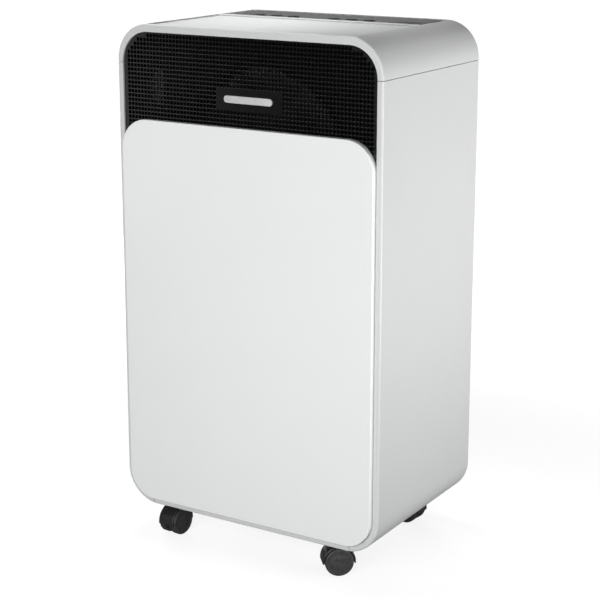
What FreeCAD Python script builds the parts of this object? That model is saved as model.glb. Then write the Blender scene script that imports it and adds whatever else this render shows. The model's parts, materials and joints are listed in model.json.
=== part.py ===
import FreeCAD, Part
import math
import operator
import os
import Sketcher

# Portable dehumidifier on four castors. Millimetres, +Z up, front towards -Y.
# The origin is on the floor, under the middle of the cabinet.

doc = FreeCAD.newDocument("Dehumidifier")

# ---------------------------------------------------------------- driving dimensions

DIMENSIONS = (
    ("cabinet_width", 350, "shell, side to side"),
    ("cabinet_depth", 232, "shell, front rim to back rim"),
    ("cabinet_height", 584, "shell, underside to top"),
    ("castor_drop", 40, "floor to the shell's underside"),
    ("corner_radius", 42, "rounded corners of the shell, seen from the front"),
    ("rim_round", 2, "rounding of the shell's front and back rims"),
    ("wall", 2.5, "moulded wall"),
    ("lip", 3, "depth of the shell's front and back rims"),
    ("seam_gap", 0.7, "open seam between two shells"),
    ("fit_gap", 0.4, "gap round a piece set into a shell"),
    ("bezel_side", 7, "front rim beside the panel"),
    ("bezel_top", 9, "front rim above the grille"),
    ("bezel_low", 8, "front rim below the panel"),
    ("back_rim", 8, "back rim all round"),
    ("cover_height", 45, "top cover, seam to top"),
    ("base_half", 138, "middle to the seam beside the base pan"),
    ("panel_top", 475, "front panel's top edge above the shell's underside"),
    ("panel_proud", 6, "front panel in front of the rim"),
    ("panel_corner", 35, "front panel's corners"),
    ("panel_sink", 1.6, "front panel behind the rim"),
    ("grille_set_back", 2, "front grille behind the rim"),
    ("grille_skirt", 39, "front grille behind the panel's top edge"),
    ("mesh_pitch", 5, "front grille, row to row"),
    ("mesh_slot", 3.6, "front grille, slot height"),
    ("mesh_rows", 18, "front grille, rows of slots"),
    ("deck_drop", 2, "top deck below the cover's rim"),
    ("deck_half", 137, "half the width of the recess in the top"),
    ("deck_inset", 4, "cover's rim in front of and behind the recess"),
    ("ridge_depth", 150, "front rim to the ridge across the deck"),
    ("ridge_width", 7, "ridge across the deck"),
    ("strip_half", 130, "half the width of the control strip"),
    ("button_radius", 7, "push button's cap"),
    ("button_travel", 1.2, "push button's stroke"),
    ("button_row", 60, "buttons behind the middle of the cabinet"),
    ("button_pitch", 24, "button to button in a group"),
    ("swivel_x", 118, "castor stems beside the middle"),
    ("swivel_y", 87, "castor stems in front of and behind the middle"),
    ("stem_radius", 4, "castor stem"),
    ("castor_trail", 10, "castor stem to wheel axle, along the floor"),
    ("wheel_radius", 17, "castor wheel"),
    ("wheel_width", 9.6, "one wheel of a castor"),
    ("web_half", 3, "half the thickness of the hood's middle web"),
    ("axle_radius", 2.5, "castor wheel's axle"),
    ("running_gap", 0.05, "radial clearance of a shaft in its hole"),
    ("bulkhead_y", 2, "bulkhead between compressor and bucket"),
    ("tray_lift", 258, "drip tray above the shell's underside"),
    ("bucket_half", 147, "half the bucket's width"),
    ("bucket_lift", 32, "bucket above the shell's underside"),
    ("bucket_height", 176, "bucket without its lid"),
    ("bucket_wall", 2.2, "bucket's wall"),
    ("fan_lift", 428, "fan's axis above the shell's underside"),
    ("fan_radius", 106, "fan's blade tips"),
    ("ring_radius", 112, "shroud's ring, inside"),
    ("coil_half", 120, "half the width of the coils' fins"),
    ("coil_height", 280, "coils' end plates"),
    ("coil_depth", 22, "depth of one coil"),
    ("fin_count", 25, "fins of one coil"),
    ("tube_rows", 8, "tubes of one coil"),
    ("compressor_radius", 50, "compressor's shell"),
    ("compressor_height", 190, "compressor's shell"),
    ("pipe_radius", 4, "refrigerant pipes"),
    ("cassette_half", 136, "half the width of the rear grille"),
    ("cassette_lift", 272, "rear grille above the shell's underside"),
    ("cassette_height", 268, "rear grille"),
)


class Size:
    """A number together with the spreadsheet formula that gives it."""

    def __init__(self, value, formula):
        self.value = value
        self.formula = formula

    def __add__(self, other):
        return joined(self, "+", other)

    def __radd__(self, other):
        return joined(other, "+", self)

    def __sub__(self, other):
        return joined(self, "-", other)

    def __rsub__(self, other):
        return joined(other, "-", self)

    def __mul__(self, other):
        return joined(self, "*", other)

    def __rmul__(self, other):
        return joined(other, "*", self)

    def __truediv__(self, other):
        return joined(self, "/", other)

    def __neg__(self):
        return joined(0, "-", self)


SIGNS = {"+": operator.add, "-": operator.sub, "*": operator.mul, "/": operator.truediv}


def as_size(thing):
    if isinstance(thing, Size):
        return thing
    return Size(float(thing), f"{float(thing):.6f}")


def joined(first, sign, second):
    first = as_size(first)
    second = as_size(second)
    value = SIGNS[sign](first.value, second.value)
    return Size(value, f"({first.formula} {sign} {second.formula})")


def write_sheet():
    """Fills the spreadsheet and returns each dimension as a Size, by its alias."""
    sheet = doc.addObject("Spreadsheet::Sheet", "Dims")
    sizes = {}
    for row, (alias, value, note) in enumerate(DIMENSIONS, start=1):
        sheet.set(f"A{row}", alias)
        sheet.set(f"B{row}", str(value))
        sheet.set(f"C{row}", note)
        sheet.setAlias(f"B{row}", alias)
        sizes[alias] = Size(float(value), f"Dims.{alias}")
    doc.recompute()
    return sizes


class Dims:
    """The sheet's dimensions as attributes."""


for dimension, dimension_size in write_sheet().items():
    setattr(Dims, dimension, dimension_size)

HALF_WIDTH = Dims.cabinet_width / 2
FRONT = -Dims.cabinet_depth / 2
BACK = Dims.cabinet_depth / 2
LOW = Dims.castor_drop
HIGH = LOW + Dims.cabinet_height
SEAM = HIGH - Dims.cover_height

NODES = []

# ---------------------------------------------------------------- Part primitives and booleans

TURNS = {
    "x": FreeCAD.Rotation(FreeCAD.Vector(0, 1, 0), 90),
    "y": FreeCAD.Rotation(FreeCAD.Vector(1, 0, 0), -90),
    "z": FreeCAD.Rotation(),
}
ACROSS = {
    "x": FreeCAD.Rotation(FreeCAD.Vector(1, 1, 1), 120),
    "y": FreeCAD.Rotation(FreeCAD.Vector(1, 0, 0), 90),
    "z": FreeCAD.Rotation(),
}
ALONG = {
    "x": FreeCAD.Vector(1, 0, 0),
    "y": FreeCAD.Vector(0, 1, 0),
    "z": FreeCAD.Vector(0, 0, 1),
}


def bind(thing, prop, size):
    thing.setExpression(prop, as_size(size).formula)


def put(thing, place):
    for axis, size in zip("xyz", place):
        bind(thing, f"Placement.Base.{axis}", size)
    return thing


def block(name, xs, ys, zs):
    """A box from its low and high x, y and z."""
    box = doc.addObject("Part::Box", name)
    for prop, (low, high) in zip(("Length", "Width", "Height"), (xs, ys, zs)):
        bind(box, prop, high - low)
    return put(box, (xs[0], ys[0], zs[0]))


def rod(name, radius, start, length, axis="z"):
    """A cylinder that runs from a point along +x, +y or +z."""
    cylinder = doc.addObject("Part::Cylinder", name)
    cylinder.Placement.Rotation = TURNS[axis]
    bind(cylinder, "Radius", radius)
    bind(cylinder, "Height", length)
    return put(cylinder, start)


def fuse(name, *pieces):
    joined_pieces = doc.addObject("Part::MultiFuse", name)
    joined_pieces.Shapes = list(pieces)
    return joined_pieces


def cut(name, base, *tools):
    result = doc.addObject("Part::Cut", name)
    result.Base = base
    result.Tool = tools[0] if len(tools) == 1 else fuse(name + "_tools", *tools)
    return result


def common(name, first, second):
    result = doc.addObject("Part::Common", name)
    result.Base = first
    result.Tool = second
    return result


def group(name, *pieces):
    """Separate solids kept side by side in one piece."""
    compound = doc.addObject("Part::Compound", name)
    compound.Links = list(pieces)
    return compound


def mirrored(name, source):
    """The source's mirror image across the middle plane."""
    mirror = doc.addObject("Part::Mirroring", name)
    mirror.Source = source
    mirror.Normal = FreeCAD.Vector(1, 0, 0)
    return mirror


def rounded(name, source, radius, wanted):
    """Fillets the edges that the test picks."""
    doc.recompute()
    fillet = doc.addObject("Part::Fillet", name)
    fillet.Base = source
    numbers = [i for i, edge in enumerate(source.Shape.Edges, start=1) if wanted(edge)]
    fillet.Edges = [(i, radius, radius) for i in numbers]
    return fillet


def node(name, thing):
    """Names a finished sub-part, which is written to a file of that name."""
    thing.Label = name
    NODES.append(thing)
    return thing


# ---------------------------------------------------------------- sketches


def hold(sketch, geometry, point, x, y):
    """Fixes a point of the sketch at x, y from its origin, driven by the sheet."""
    for kind, axis_line, size in (("DistanceX", -2, as_size(x)), ("DistanceY", -1, as_size(y))):
        if abs(size.value) < 1e-9:
            sketch.addConstraint(Sketcher.Constraint("PointOnObject", geometry, point, axis_line))
            continue
        number = sketch.addConstraint(
            Sketcher.Constraint(kind, -1, 1, geometry, point, size.value))
        sketch.setExpression(f"Constraints[{number}]", size.formula)


def drive(sketch, kind, where, size):
    size = as_size(size)
    number = sketch.addConstraint(Sketcher.Constraint(kind, *where, size.value))
    sketch.setExpression(f"Constraints[{number}]", size.formula)


def add_polygon(sketch, corners):
    """A closed run of straight lines through the corners."""
    spots = [FreeCAD.Vector(as_size(x).value, as_size(y).value, 0) for x, y in corners]
    lines = []
    for start, end in zip(spots, spots[1:] + spots[:1]):
        lines.append(sketch.addGeometry(Part.LineSegment(start, end), False))
    for line, following in zip(lines, lines[1:] + lines[:1]):
        sketch.addConstraint(Sketcher.Constraint("Coincident", line, 2, following, 1))
    for line, (x, y) in zip(lines, corners):
        hold(sketch, line, 1, x, y)


def add_rectangle(sketch, x, y, width, height):
    add_polygon(sketch, ((x, y), (x + width, y), (x + width, y + height), (x, y + height)))


def add_circle(sketch, x, y, radius):
    centre = FreeCAD.Vector(as_size(x).value, as_size(y).value, 0)
    circle = Part.Circle(centre, FreeCAD.Vector(0, 0, 1), as_size(radius).value)
    number = sketch.addGeometry(circle, False)
    hold(sketch, number, 3, x, y)
    drive(sketch, "Radius", (number,), radius)


def add_rounded(sketch, x, y, width, height, radius):
    """A rectangle with four equal round corners, from its low corner."""
    x, y, width, height, radius = (as_size(size) for size in (x, y, width, height, radius))
    left, low, r = x.value, y.value, radius.value
    right, high = left + width.value, low + height.value
    centres = ((right - r, low + r), (right - r, high - r), (left + r, high - r), (left + r, low + r))
    normal = FreeCAD.Vector(0, 0, 1)
    arcs = []
    for quarter, (cx, cy) in enumerate(centres):
        circle = Part.Circle(FreeCAD.Vector(cx, cy, 0), normal, r)
        start = math.radians(90 * quarter - 90)
        arcs.append(sketch.addGeometry(Part.ArcOfCircle(circle, start, start + math.pi / 2), False))
    lines = []
    for quarter, arc in enumerate(arcs):
        end = sketch.Geometry[arc].EndPoint
        start = sketch.Geometry[arcs[(quarter + 1) % 4]].StartPoint
        lines.append(sketch.addGeometry(Part.LineSegment(end, start), False))
    for quarter, line in enumerate(lines):
        sketch.addConstraint(Sketcher.Constraint("Tangent", arcs[quarter], 2, line, 1))
        sketch.addConstraint(Sketcher.Constraint("Tangent", line, 2, arcs[(quarter + 1) % 4], 1))
        kind = "Vertical" if quarter % 2 == 0 else "Horizontal"
        sketch.addConstraint(Sketcher.Constraint(kind, line))
    for arc in arcs[1:]:
        sketch.addConstraint(Sketcher.Constraint("Equal", arcs[0], arc))
    drive(sketch, "Radius", (arcs[0],), radius)
    hold(sketch, arcs[3], 3, x + radius, y + radius)
    drive(sketch, "DistanceX", (arcs[3], 3, arcs[0], 3), width - 2 * radius)
    drive(sketch, "DistanceY", (arcs[0], 3, arcs[1], 3), height - 2 * radius)


def slab(name, size, thickness, corner, facing="y"):
    """A plate with round corners. size is its width, height and corner radius."""
    sketch = doc.addObject("Sketcher::SketchObject", name + "_outline")
    sketch.Placement.Rotation = ACROSS[facing]
    add_rounded(sketch, 0, 0, *size)
    put(sketch, corner)
    plate = doc.addObject("Part::Extrusion", name)
    plate.Base = sketch
    plate.DirMode = "Custom"
    plate.Dir = ALONG[facing]
    plate.Solid = True
    bind(plate, "LengthFwd", thickness)
    return plate


# ---------------------------------------------------------------- PartDesign bodies


def new_body(name, place):
    body = doc.addObject("PartDesign::Body", name)
    put(body, place)
    return body


def new_sketch(body, name, role, lift=0):
    """A sketch on one of the body's own origin planes, moved out by lift."""
    sketch = body.newObject("Sketcher::SketchObject", name)
    origin_plane = next(f for f in body.Origin.OriginFeatures if f.Role == role)
    sketch.AttachmentSupport = [(origin_plane, "")]
    sketch.MapMode = "FlatFace"
    bind(sketch, "AttachmentOffset.Base.z", lift)
    return sketch


def pad(body, sketch, length, backwards=False):
    feature = body.newObject("PartDesign::Pad", sketch.Name + "_pad")
    feature.Profile = sketch
    feature.Reversed = backwards
    bind(feature, "Length", length)
    body.Tip = feature
    return feature


def pocket(body, sketch, length, backwards=False):
    feature = body.newObject("PartDesign::Pocket", sketch.Name + "_pocket")
    feature.Profile = sketch
    feature.Reversed = backwards
    bind(feature, "Length", length)
    body.Tip = feature
    return feature


def revolve(body, sketch):
    feature = body.newObject("PartDesign::Revolution", sketch.Name + "_turned")
    feature.Profile = sketch
    feature.ReferenceAxis = (sketch, ["V_Axis"])
    feature.Angle = 360
    body.Tip = feature
    return feature


def repeat(body, sketch, feature, axis, length, count):
    """Repeats a feature along the sketch's H_Axis or V_Axis."""
    pattern = body.newObject("PartDesign::LinearPattern", feature.Name + "_rows")
    pattern.Originals = [feature]
    pattern.Direction = (sketch, [axis])
    bind(pattern, "Length", length)
    bind(pattern, "Occurrences", count)
    body.Tip = pattern
    return pattern


def soften(body, name, radius, wanted):
    """Fillets the body's edges that the test picks."""
    doc.recompute()
    tip = body.Tip
    feature = body.newObject("PartDesign::Fillet", name)
    numbers = [i for i, edge in enumerate(tip.Shape.Edges, start=1) if wanted(edge)]
    feature.Base = (tip, [f"Edge{i}" for i in numbers])
    bind(feature, "Radius", radius)
    body.Tip = feature
    return feature


def lies_at(axis, size, slack=0.01):
    """A test for the edges that lie wholly in one plane across an axis."""
    wanted = as_size(size).value

    def test(edge):
        bounds = edge.BoundBox
        low, high = {
            "x": (bounds.XMin, bounds.XMax),
            "y": (bounds.YMin, bounds.YMax),
            "z": (bounds.ZMin, bounds.ZMax),
        }[axis]
        return abs(low - wanted) < slack and abs(high - wanted) < slack

    return test


# ---------------------------------------------------------------- casing

TRAY_LOW = LOW + Dims.tray_lift
BUCKET_LOW = LOW + Dims.bucket_lift
BUCKET_TOP = BUCKET_LOW + Dims.bucket_height
CASSETTE_LOW = LOW + Dims.cassette_lift
CASSETTE_HIGH = CASSETTE_LOW + Dims.cassette_height
FAN_Z = LOW + Dims.fan_lift
PORT_Z = TRAY_LOW - 14
SCREW_X = HALF_WIDTH - 14
SCREW_HEIGHTS = (LOW + 45, LOW + 246, LOW + 515)
SCREW_RADIUS = 1.75
BAY_TOP = BUCKET_TOP + 18
INLET_SIZE = (42, 30)
INLET_CORE = (28, 20)
INLET_ROOM = 4


def inset_prism(name, inset, y_from, depth):
    """The shell's outline moved in by inset on every side, as a prism along y."""
    size = (Dims.cabinet_width - 2 * inset, Dims.cabinet_height - 2 * inset, Dims.corner_radius - inset)
    return slab(name, size, depth, (-HALF_WIDTH + inset, y_from, LOW + inset))


def make_skin():
    """The whole shell with its front and back rims, before its seams divide it."""
    solid = new_body("shell_solid", (-HALF_WIDTH, FRONT, LOW))
    sketch = new_sketch(solid, "shell_outline", "XZ_Plane")
    add_rounded(sketch, 0, 0, Dims.cabinet_width, Dims.cabinet_height, Dims.corner_radius)
    pad(solid, sketch, Dims.cabinet_depth, backwards=True)
    soften(solid, "rim_rounding", Dims.rim_round,
           lambda edge: lies_at("y", 0)(edge) or lies_at("y", Dims.cabinet_depth)(edge))
    hollow = inset_prism("shell_hollow", Dims.wall, FRONT + Dims.lip, Dims.cabinet_depth - 2 * Dims.lip)
    mouth_size = (Dims.cabinet_width - 2 * Dims.bezel_side,
                  Dims.cabinet_height - Dims.bezel_top - Dims.bezel_low,
                  Dims.corner_radius - Dims.bezel_side)
    mouth = slab("front_mouth", mouth_size, Dims.lip + 2,
                 (-HALF_WIDTH + Dims.bezel_side, FRONT - 1, LOW + Dims.bezel_low))
    back_mouth = inset_prism("back_mouth", Dims.back_rim, BACK - Dims.lip - 1, Dims.lip + 2)
    return cut("shell_skin", solid, hollow, mouth, back_mouth)


SKIN = make_skin()
WHOLE_DEPTH = (FRONT - 1, BACK + 1)


def make_side_panels():
    region = block("side_region", (Dims.base_half, HALF_WIDTH + 1), WHOLE_DEPTH,
                   (LOW - 1, SEAM - Dims.seam_gap / 2))
    pieces = [common("side_skin", SKIN, region)]
    bores = []
    for height in SCREW_HEIGHTS:
        start = (SCREW_X, BACK - 16, height)
        pieces.append(rod("screw_boss", 4, start, 16 - Dims.lip - 0.1, axis="y"))
        pieces.append(block("screw_rib", (SCREW_X + 1, HALF_WIDTH - 2), (BACK - 16, BACK - 5),
                            (height - 1.5, height + 1.5)))
        bores.append(rod("screw_bore", SCREW_RADIUS + Dims.running_gap, start, 16, axis="y"))
    right = cut("side_right", fuse("side_with_bosses", *pieces), *bores)
    node("side_panel_right", right)
    node("side_panel_left", mirrored("side_left", right))


def make_base_pan():
    half = Dims.base_half - Dims.seam_gap
    region = block("base_region", (-half, half), WHOLE_DEPTH, (LOW - 1, LOW + 20))
    inside = (FRONT + Dims.lip, BACK - Dims.lip)
    pieces = [common("base_skin", SKIN, region)]
    pieces.append(block("base_floor", (-half, half), inside, (LOW, LOW + 3)))
    floor_top = BUCKET_LOW - 1
    pieces.append(block("bay_floor", (-half + 2, half - 2), (Dims.bulkhead_y + 5, BACK - 4),
                        (floor_top - 2.5, floor_top)))
    for side in (-1, 1):
        edge = side * (half - 3.5)
        pieces.append(block("base_rib", (edge - 1.5, edge + 1.5), (Dims.bulkhead_y + 5, BACK - 4),
                            (LOW + 1, floor_top - 1)))
    bores = []
    for side_x in (-1, 1):
        for side_y in (-1, 1):
            spot = (side_x * Dims.swivel_x, side_y * Dims.swivel_y, LOW)
            pieces.append(rod("castor_boss", 11, spot, 28))
            bores.append(rod("castor_socket", Dims.stem_radius + Dims.running_gap, spot, 25))
    node("base_pan", cut("base", fuse("base_solid", *pieces), *bores))


def make_top_cover():
    region = block("cover_region", (-HALF_WIDTH - 1, HALF_WIDTH + 1), WHOLE_DEPTH,
                   (SEAM + Dims.seam_gap / 2, HIGH + 1))
    skin = common("cover_skin", SKIN, region)
    half = Dims.deck_half
    near = FRONT + Dims.deck_inset
    far = BACK - Dims.deck_inset
    ledge = HIGH - Dims.deck_drop - 3
    shelf = block("deck_shelf", (-half - 2, half + 2), (near - 1, far + 1), (ledge - 2, HIGH - 1))
    recess = block("deck_recess", (-half, half), (near, far), (ledge, HIGH + 1))
    well = block("deck_well", (-half + 8, half - 8), (near + 6, far - 6), (ledge - 3, HIGH))
    node("top_cover", cut("cover", fuse("cover_solid", skin, shelf), recess, well))


def make_rear_panel():
    """The back plate: bay mouth with the inlet's notch above it, intake window, rails and drain spout."""
    gap = Dims.fit_gap
    size = (Dims.cabinet_width - 2 * Dims.back_rim - 2 * gap,
            Dims.cabinet_height - 2 * Dims.back_rim - 2 * gap,
            Dims.corner_radius - Dims.back_rim - gap)
    inset = Dims.back_rim + gap
    plate = slab("rear_plate", size, Dims.lip, (-HALF_WIDTH + inset, BACK - Dims.lip, LOW + inset))
    rail = Dims.cassette_half + 0.5
    rail_span = (CASSETTE_LOW - 4, CASSETTE_HIGH)
    additions = [rod("drain_spout", 8, (-Dims.swivel_x, BACK - 20, PORT_Z), 18, axis="y"),
                 block("cassette_stop", (-rail, rail), (BACK - 1, BACK + 5),
                       (CASSETTE_LOW - 4, CASSETTE_LOW - 0.4))]
    for side in (-1, 1):
        outer = side * (rail + 3.5)
        inner = side * rail
        under = side * (rail - 3.5)
        low, high = (inner, outer) if side > 0 else (outer, inner)
        additions.append(block("rail_wall", (low, high), (BACK - 1, BACK + Dims.panel_proud), rail_span))
        low, high = (under, outer) if side > 0 else (outer, under)
        additions.append(block("rail_lip", (low, high), (BACK + 4, BACK + Dims.panel_proud), rail_span))
    window = block("intake_window", (-Dims.coil_half - 4, Dims.coil_half + 4), (BACK - 5, BACK + 1),
                   (CASSETTE_LOW + 10, CASSETTE_HIGH - 10))
    bay_half = Dims.bucket_half + 2
    bay = block("bay_mouth", (-bay_half, bay_half), (BACK - 5, BACK + 1), (BUCKET_LOW - 1.5, BAY_TOP))
    inlet_half = INLET_CORE[0] / 2 + INLET_ROOM
    holes = [window, bay,
             rod("drain_bore", 6 + Dims.running_gap, (-Dims.swivel_x, BACK - 21, PORT_Z), 22, axis="y"),
             block("inlet_notch", (Dims.swivel_x - inlet_half, Dims.swivel_x + inlet_half),
                   (BACK - 5, BACK + 1), (BAY_TOP - 1, PORT_Z + INLET_CORE[1] / 2 + INLET_ROOM))]
    for side in (-1, 1):
        for height in SCREW_HEIGHTS:
            holes.append(rod("screw_hole", SCREW_RADIUS + Dims.running_gap,
                             (side * SCREW_X, BACK - 5, height), 6, axis="y"))
    node("rear_panel", cut("rear", fuse("rear_solid", plate, *additions), *holes))


def make_bulkhead():
    prism = inset_prism("bulkhead_outline", Dims.wall + 0.7, Dims.bulkhead_y, 3)
    region = block("bulkhead_region", (-HALF_WIDTH, HALF_WIDTH), WHOLE_DEPTH, (LOW + 3, TRAY_LOW))
    node("bulkhead", common("bulkhead_plate", prism, region))


def make_front_panel():
    """A shallow pan with crisp, slightly rounded front edges."""
    gap = Dims.fit_gap
    width = Dims.cabinet_width - 2 * Dims.bezel_side - 2 * gap
    height = Dims.panel_top - Dims.bezel_low - gap
    corner = Dims.panel_corner - gap
    depth = Dims.panel_proud + Dims.panel_sink
    body = new_body("front_panel", (-width / 2, FRONT - Dims.panel_proud, LOW + Dims.bezel_low + gap))
    outline = new_sketch(body, "panel_outline", "XZ_Plane")
    add_rounded(outline, 0, 0, width, height, corner)
    pad(body, outline, depth, backwards=True)
    soften(body, "panel_edge", 1.2, lies_at("y", 0))
    hollow = new_sketch(body, "panel_hollow", "XZ_Plane", lift=-depth)
    wall = Dims.wall
    add_rounded(hollow, wall, wall, width - 2 * wall, height - 2 * wall, corner - wall)
    pocket(body, hollow, depth - wall)
    node("front_panel", body)


def make_front_grille():
    """The black mesh behind the front mouth, with a plain patch for the badge."""
    gap = Dims.fit_gap
    width = Dims.cabinet_width - 2 * Dims.bezel_side - 2 * gap
    low = LOW + Dims.panel_top - Dims.grille_skirt
    high = HIGH - Dims.bezel_top - gap
    corner = Dims.corner_radius - Dims.bezel_side - gap
    thick = 2.5
    y = FRONT + Dims.grille_set_back
    body = new_body("front_grille", (-width / 2, y, low))
    outline = new_sketch(body, "grille_outline", "XZ_Plane")
    add_rounded(outline, 0, -corner, width, high - low + corner, corner)
    pad(body, outline, thick, backwards=True)
    skirt = new_sketch(body, "grille_skirt_cut", "XZ_Plane", lift=1)
    add_rectangle(skirt, -1, -corner - 1, width + 2, corner + 1)
    pocket(body, skirt, thick + 2)
    slots = new_sketch(body, "mesh_slots", "XZ_Plane", lift=1)
    margin = 4
    bar = 3
    columns = 4
    slot_width = (width - 2 * margin - (columns - 1) * bar) / columns
    first_row = Dims.grille_skirt + 5
    for column in range(columns):
        add_rectangle(slots, margin + column * (slot_width + bar), first_row, slot_width, Dims.mesh_slot)
    slot_cut = pocket(body, slots, thick + 2)
    repeat(body, slots, slot_cut, "V_Axis", (Dims.mesh_rows - 1) * Dims.mesh_pitch, Dims.mesh_rows)
    patch = new_sketch(body, "badge_patch", "XZ_Plane")
    add_rectangle(patch, width / 2 - 41, Dims.grille_skirt + 21, 91, 22)
    pad(body, patch, thick, backwards=True)
    node("front_grille", body)
    badge = slab("badge_bar", (64, 8, 3.9), 1.2, (-28, y - 1.2, LOW + 502))
    node("badge_plate", badge)


# ---------------------------------------------------------------- top and controls

STRIP_NEAR = FRONT + Dims.ridge_depth + Dims.ridge_width
STRIP_FAR = BACK - Dims.deck_inset - 2
STRIP_TOP = HIGH - 1
BUTTONS = ("power", "mode", "fan_speed", "timer", "humidity_up", "humidity_down")


def button_x(index):
    """Two groups of three, the left one ending as far out as the right one starts in."""
    start = -93 if index < 3 else 11
    return start + Dims.button_pitch * (index % 3)


def make_top_deck():
    gap = Dims.fit_gap
    half = Dims.deck_half - gap
    near = FRONT + Dims.deck_inset + gap
    far = BACK - Dims.deck_inset - gap
    surface = HIGH - Dims.deck_drop
    plate = block("deck_plate", (-half, half), (near, far), (surface - 3, surface))
    ridge_near = FRONT + Dims.ridge_depth
    ridge = rounded("deck_ridge_round", block("deck_ridge", (-half, half), (ridge_near, STRIP_NEAR - 0.4),
                                             (surface - 1, HIGH)), 1, lies_at("z", HIGH))
    window_half = Dims.strip_half + gap
    window = block("strip_window", (-window_half, window_half), (STRIP_NEAR - gap, STRIP_FAR + gap),
                   (STRIP_TOP - 3, HIGH + 1))
    well = block("strip_well", (-window_half + 3, window_half - 3), (STRIP_NEAR + 3, STRIP_FAR - 3),
                 (surface - 4, HIGH))
    node("top_deck", cut("deck", fuse("deck_solid", plate, ridge), window, well))


def make_control_panel():
    """The dark strip with six button holes and a shallow pocket for the display."""
    width = 2 * Dims.strip_half
    depth = STRIP_FAR - STRIP_NEAR
    body = new_body("control_panel", (-Dims.strip_half, STRIP_NEAR, STRIP_TOP - 3))
    outline = new_sketch(body, "strip_outline", "XY_Plane")
    add_rounded(outline, 0, 0, width, depth, 4)
    pad(body, outline, 3)
    holes = new_sketch(body, "button_holes", "XY_Plane", lift=3)
    for index in range(len(BUTTONS)):
        add_circle(holes, Dims.strip_half + button_x(index), Dims.button_row - STRIP_NEAR,
                   Dims.button_radius + Dims.fit_gap)
    pocket(body, holes, 4)
    window = new_sketch(body, "display_pocket", "XY_Plane", lift=3)
    add_rounded(window, Dims.strip_half + 94, Dims.button_row - STRIP_NEAR - 13, 33, 26, 2)
    pocket(body, window, 1.4)
    node("control_panel", body)
    lens = slab("display_lens", (32.6, 25.6, 1.8), 1.4, (94.2, Dims.button_row - 12.8, STRIP_TOP - 1.4),
                facing="z")
    node("display_window", lens)


def make_buttons():
    """A cap in the strip's hole and a wider flange under it."""
    profile_top = 0.6
    for index, name in enumerate(BUTTONS):
        body = new_body("button_" + name, (button_x(index), Dims.button_row, STRIP_TOP - 4.6))
        profile = new_sketch(body, "cap_profile_" + name, "XZ_Plane")
        r = Dims.button_radius
        add_polygon(profile, ((0, 0), (r + 1.6, 0), (r + 1.6, 1.2), (r, 1.2), (r, 4.6 + profile_top - 0.5),
                              (r - 0.5, 4.6 + profile_top), (r - 2, 4.6 + profile_top), (0, 4.6 + 0.2)))
        revolve(body, profile)
        node("button_" + name, body)


def make_control_board():
    board_top = STRIP_TOP - 11
    pieces = [block("board", (-115, 128), (STRIP_NEAR + 8, BACK - 14), (board_top - 1.6, board_top))]
    stroke = Dims.button_travel + 0.3
    for index in range(len(BUTTONS)):
        x = button_x(index)
        y = Dims.button_row
        pieces.append(block("tact_switch", (x - 3, x + 3), (y - 3, y + 3),
                            (board_top - 1, STRIP_TOP - 4.6 - stroke)))
    pieces.append(block("display_module", (97, 125), (Dims.button_row - 10, Dims.button_row + 10),
                        (board_top - 1, STRIP_TOP - 4)))
    node("control_board", fuse("control_board_solid", *pieces))


# ---------------------------------------------------------------- castors

CASTOR_TURNS = {
    "front_left": (-1, -1, -5),
    "front_right": (1, -1, -50),
    "rear_left": (-1, 1, 35),
    "rear_right": (1, 1, -94),
}


def make_castor_parts():
    """One castor about its stem: the hood, and the stem with the axle, which runs along x behind it."""
    r = Dims.wheel_radius
    axle_y = -Dims.castor_trail
    reach = Dims.web_half + 0.4 + Dims.wheel_width - 1.6
    outer = rod("hood_shell", r + 2.4, (-reach, axle_y, r), 2 * reach, axis="x")
    neck = rod("hood_neck", 8, (0, 0, r + 8), LOW - 0.4 - r - 8)
    spaces = [block("hood_below", (-30, 30), (-40, 40), (-10, r + 1))]
    room = r + 0.8
    for start in (Dims.web_half, -Dims.web_half - 30):
        spaces.append(rod("wheel_room", room, (start, axle_y, r), 30, axis="x"))
    shell = cut("hood_cut", fuse("hood_solid", outer, neck), *spaces)
    web = rod("hood_web", r - 5, (-Dims.web_half, axle_y, r), 2 * Dims.web_half, axis="x")
    stem_low = r + 15
    stem_hole = rod("hood_stem_hole", Dims.stem_radius, (0, 0, stem_low), LOW)
    axle_hole = rod("hood_axle_hole", Dims.axle_radius, (-20, axle_y, r), 40, axis="x")
    hood = cut("hood", fuse("hood_with_web", shell, web), stem_hole, axle_hole)
    stem = rod("stem", Dims.stem_radius, (0, 0, stem_low), LOW + 24 - stem_low)
    axle = rod("axle", Dims.axle_radius, (-reach, axle_y, r), 2 * reach, axis="x")
    return hood, group("pins", stem, axle)


def make_castor_wheel():
    """Turned about the axle: a closed outer face, a blind bore and a rounded tread."""
    body = new_body("wheel_form", (Dims.web_half + 0.4, -Dims.castor_trail, Dims.wheel_radius))
    body.Placement.Rotation = TURNS["x"]
    profile = new_sketch(body, "wheel_profile", "XZ_Plane")
    r = Dims.wheel_radius
    wide = Dims.wheel_width
    bore = Dims.axle_radius + Dims.running_gap
    add_polygon(profile, ((bore, 0), (r - 1, 0), (r, 1), (r, wide - 2), (r - 2, wide), (r - 4, wide),
                          (r - 5, wide - 0.8), (0, wide - 0.8), (0, wide - 1.4), (bore, wide - 1.4)))
    revolve(body, profile)
    return body


def placed(name, source, corner, turn):
    """The source turned about the stem and set under one corner."""
    copy = group(name, source)
    copy.Placement.Rotation = FreeCAD.Rotation(FreeCAD.Vector(0, 0, 1), turn)
    side_x, side_y = corner
    put(copy, (side_x * Dims.swivel_x, side_y * Dims.swivel_y, 0))
    return node(name, copy)


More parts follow.
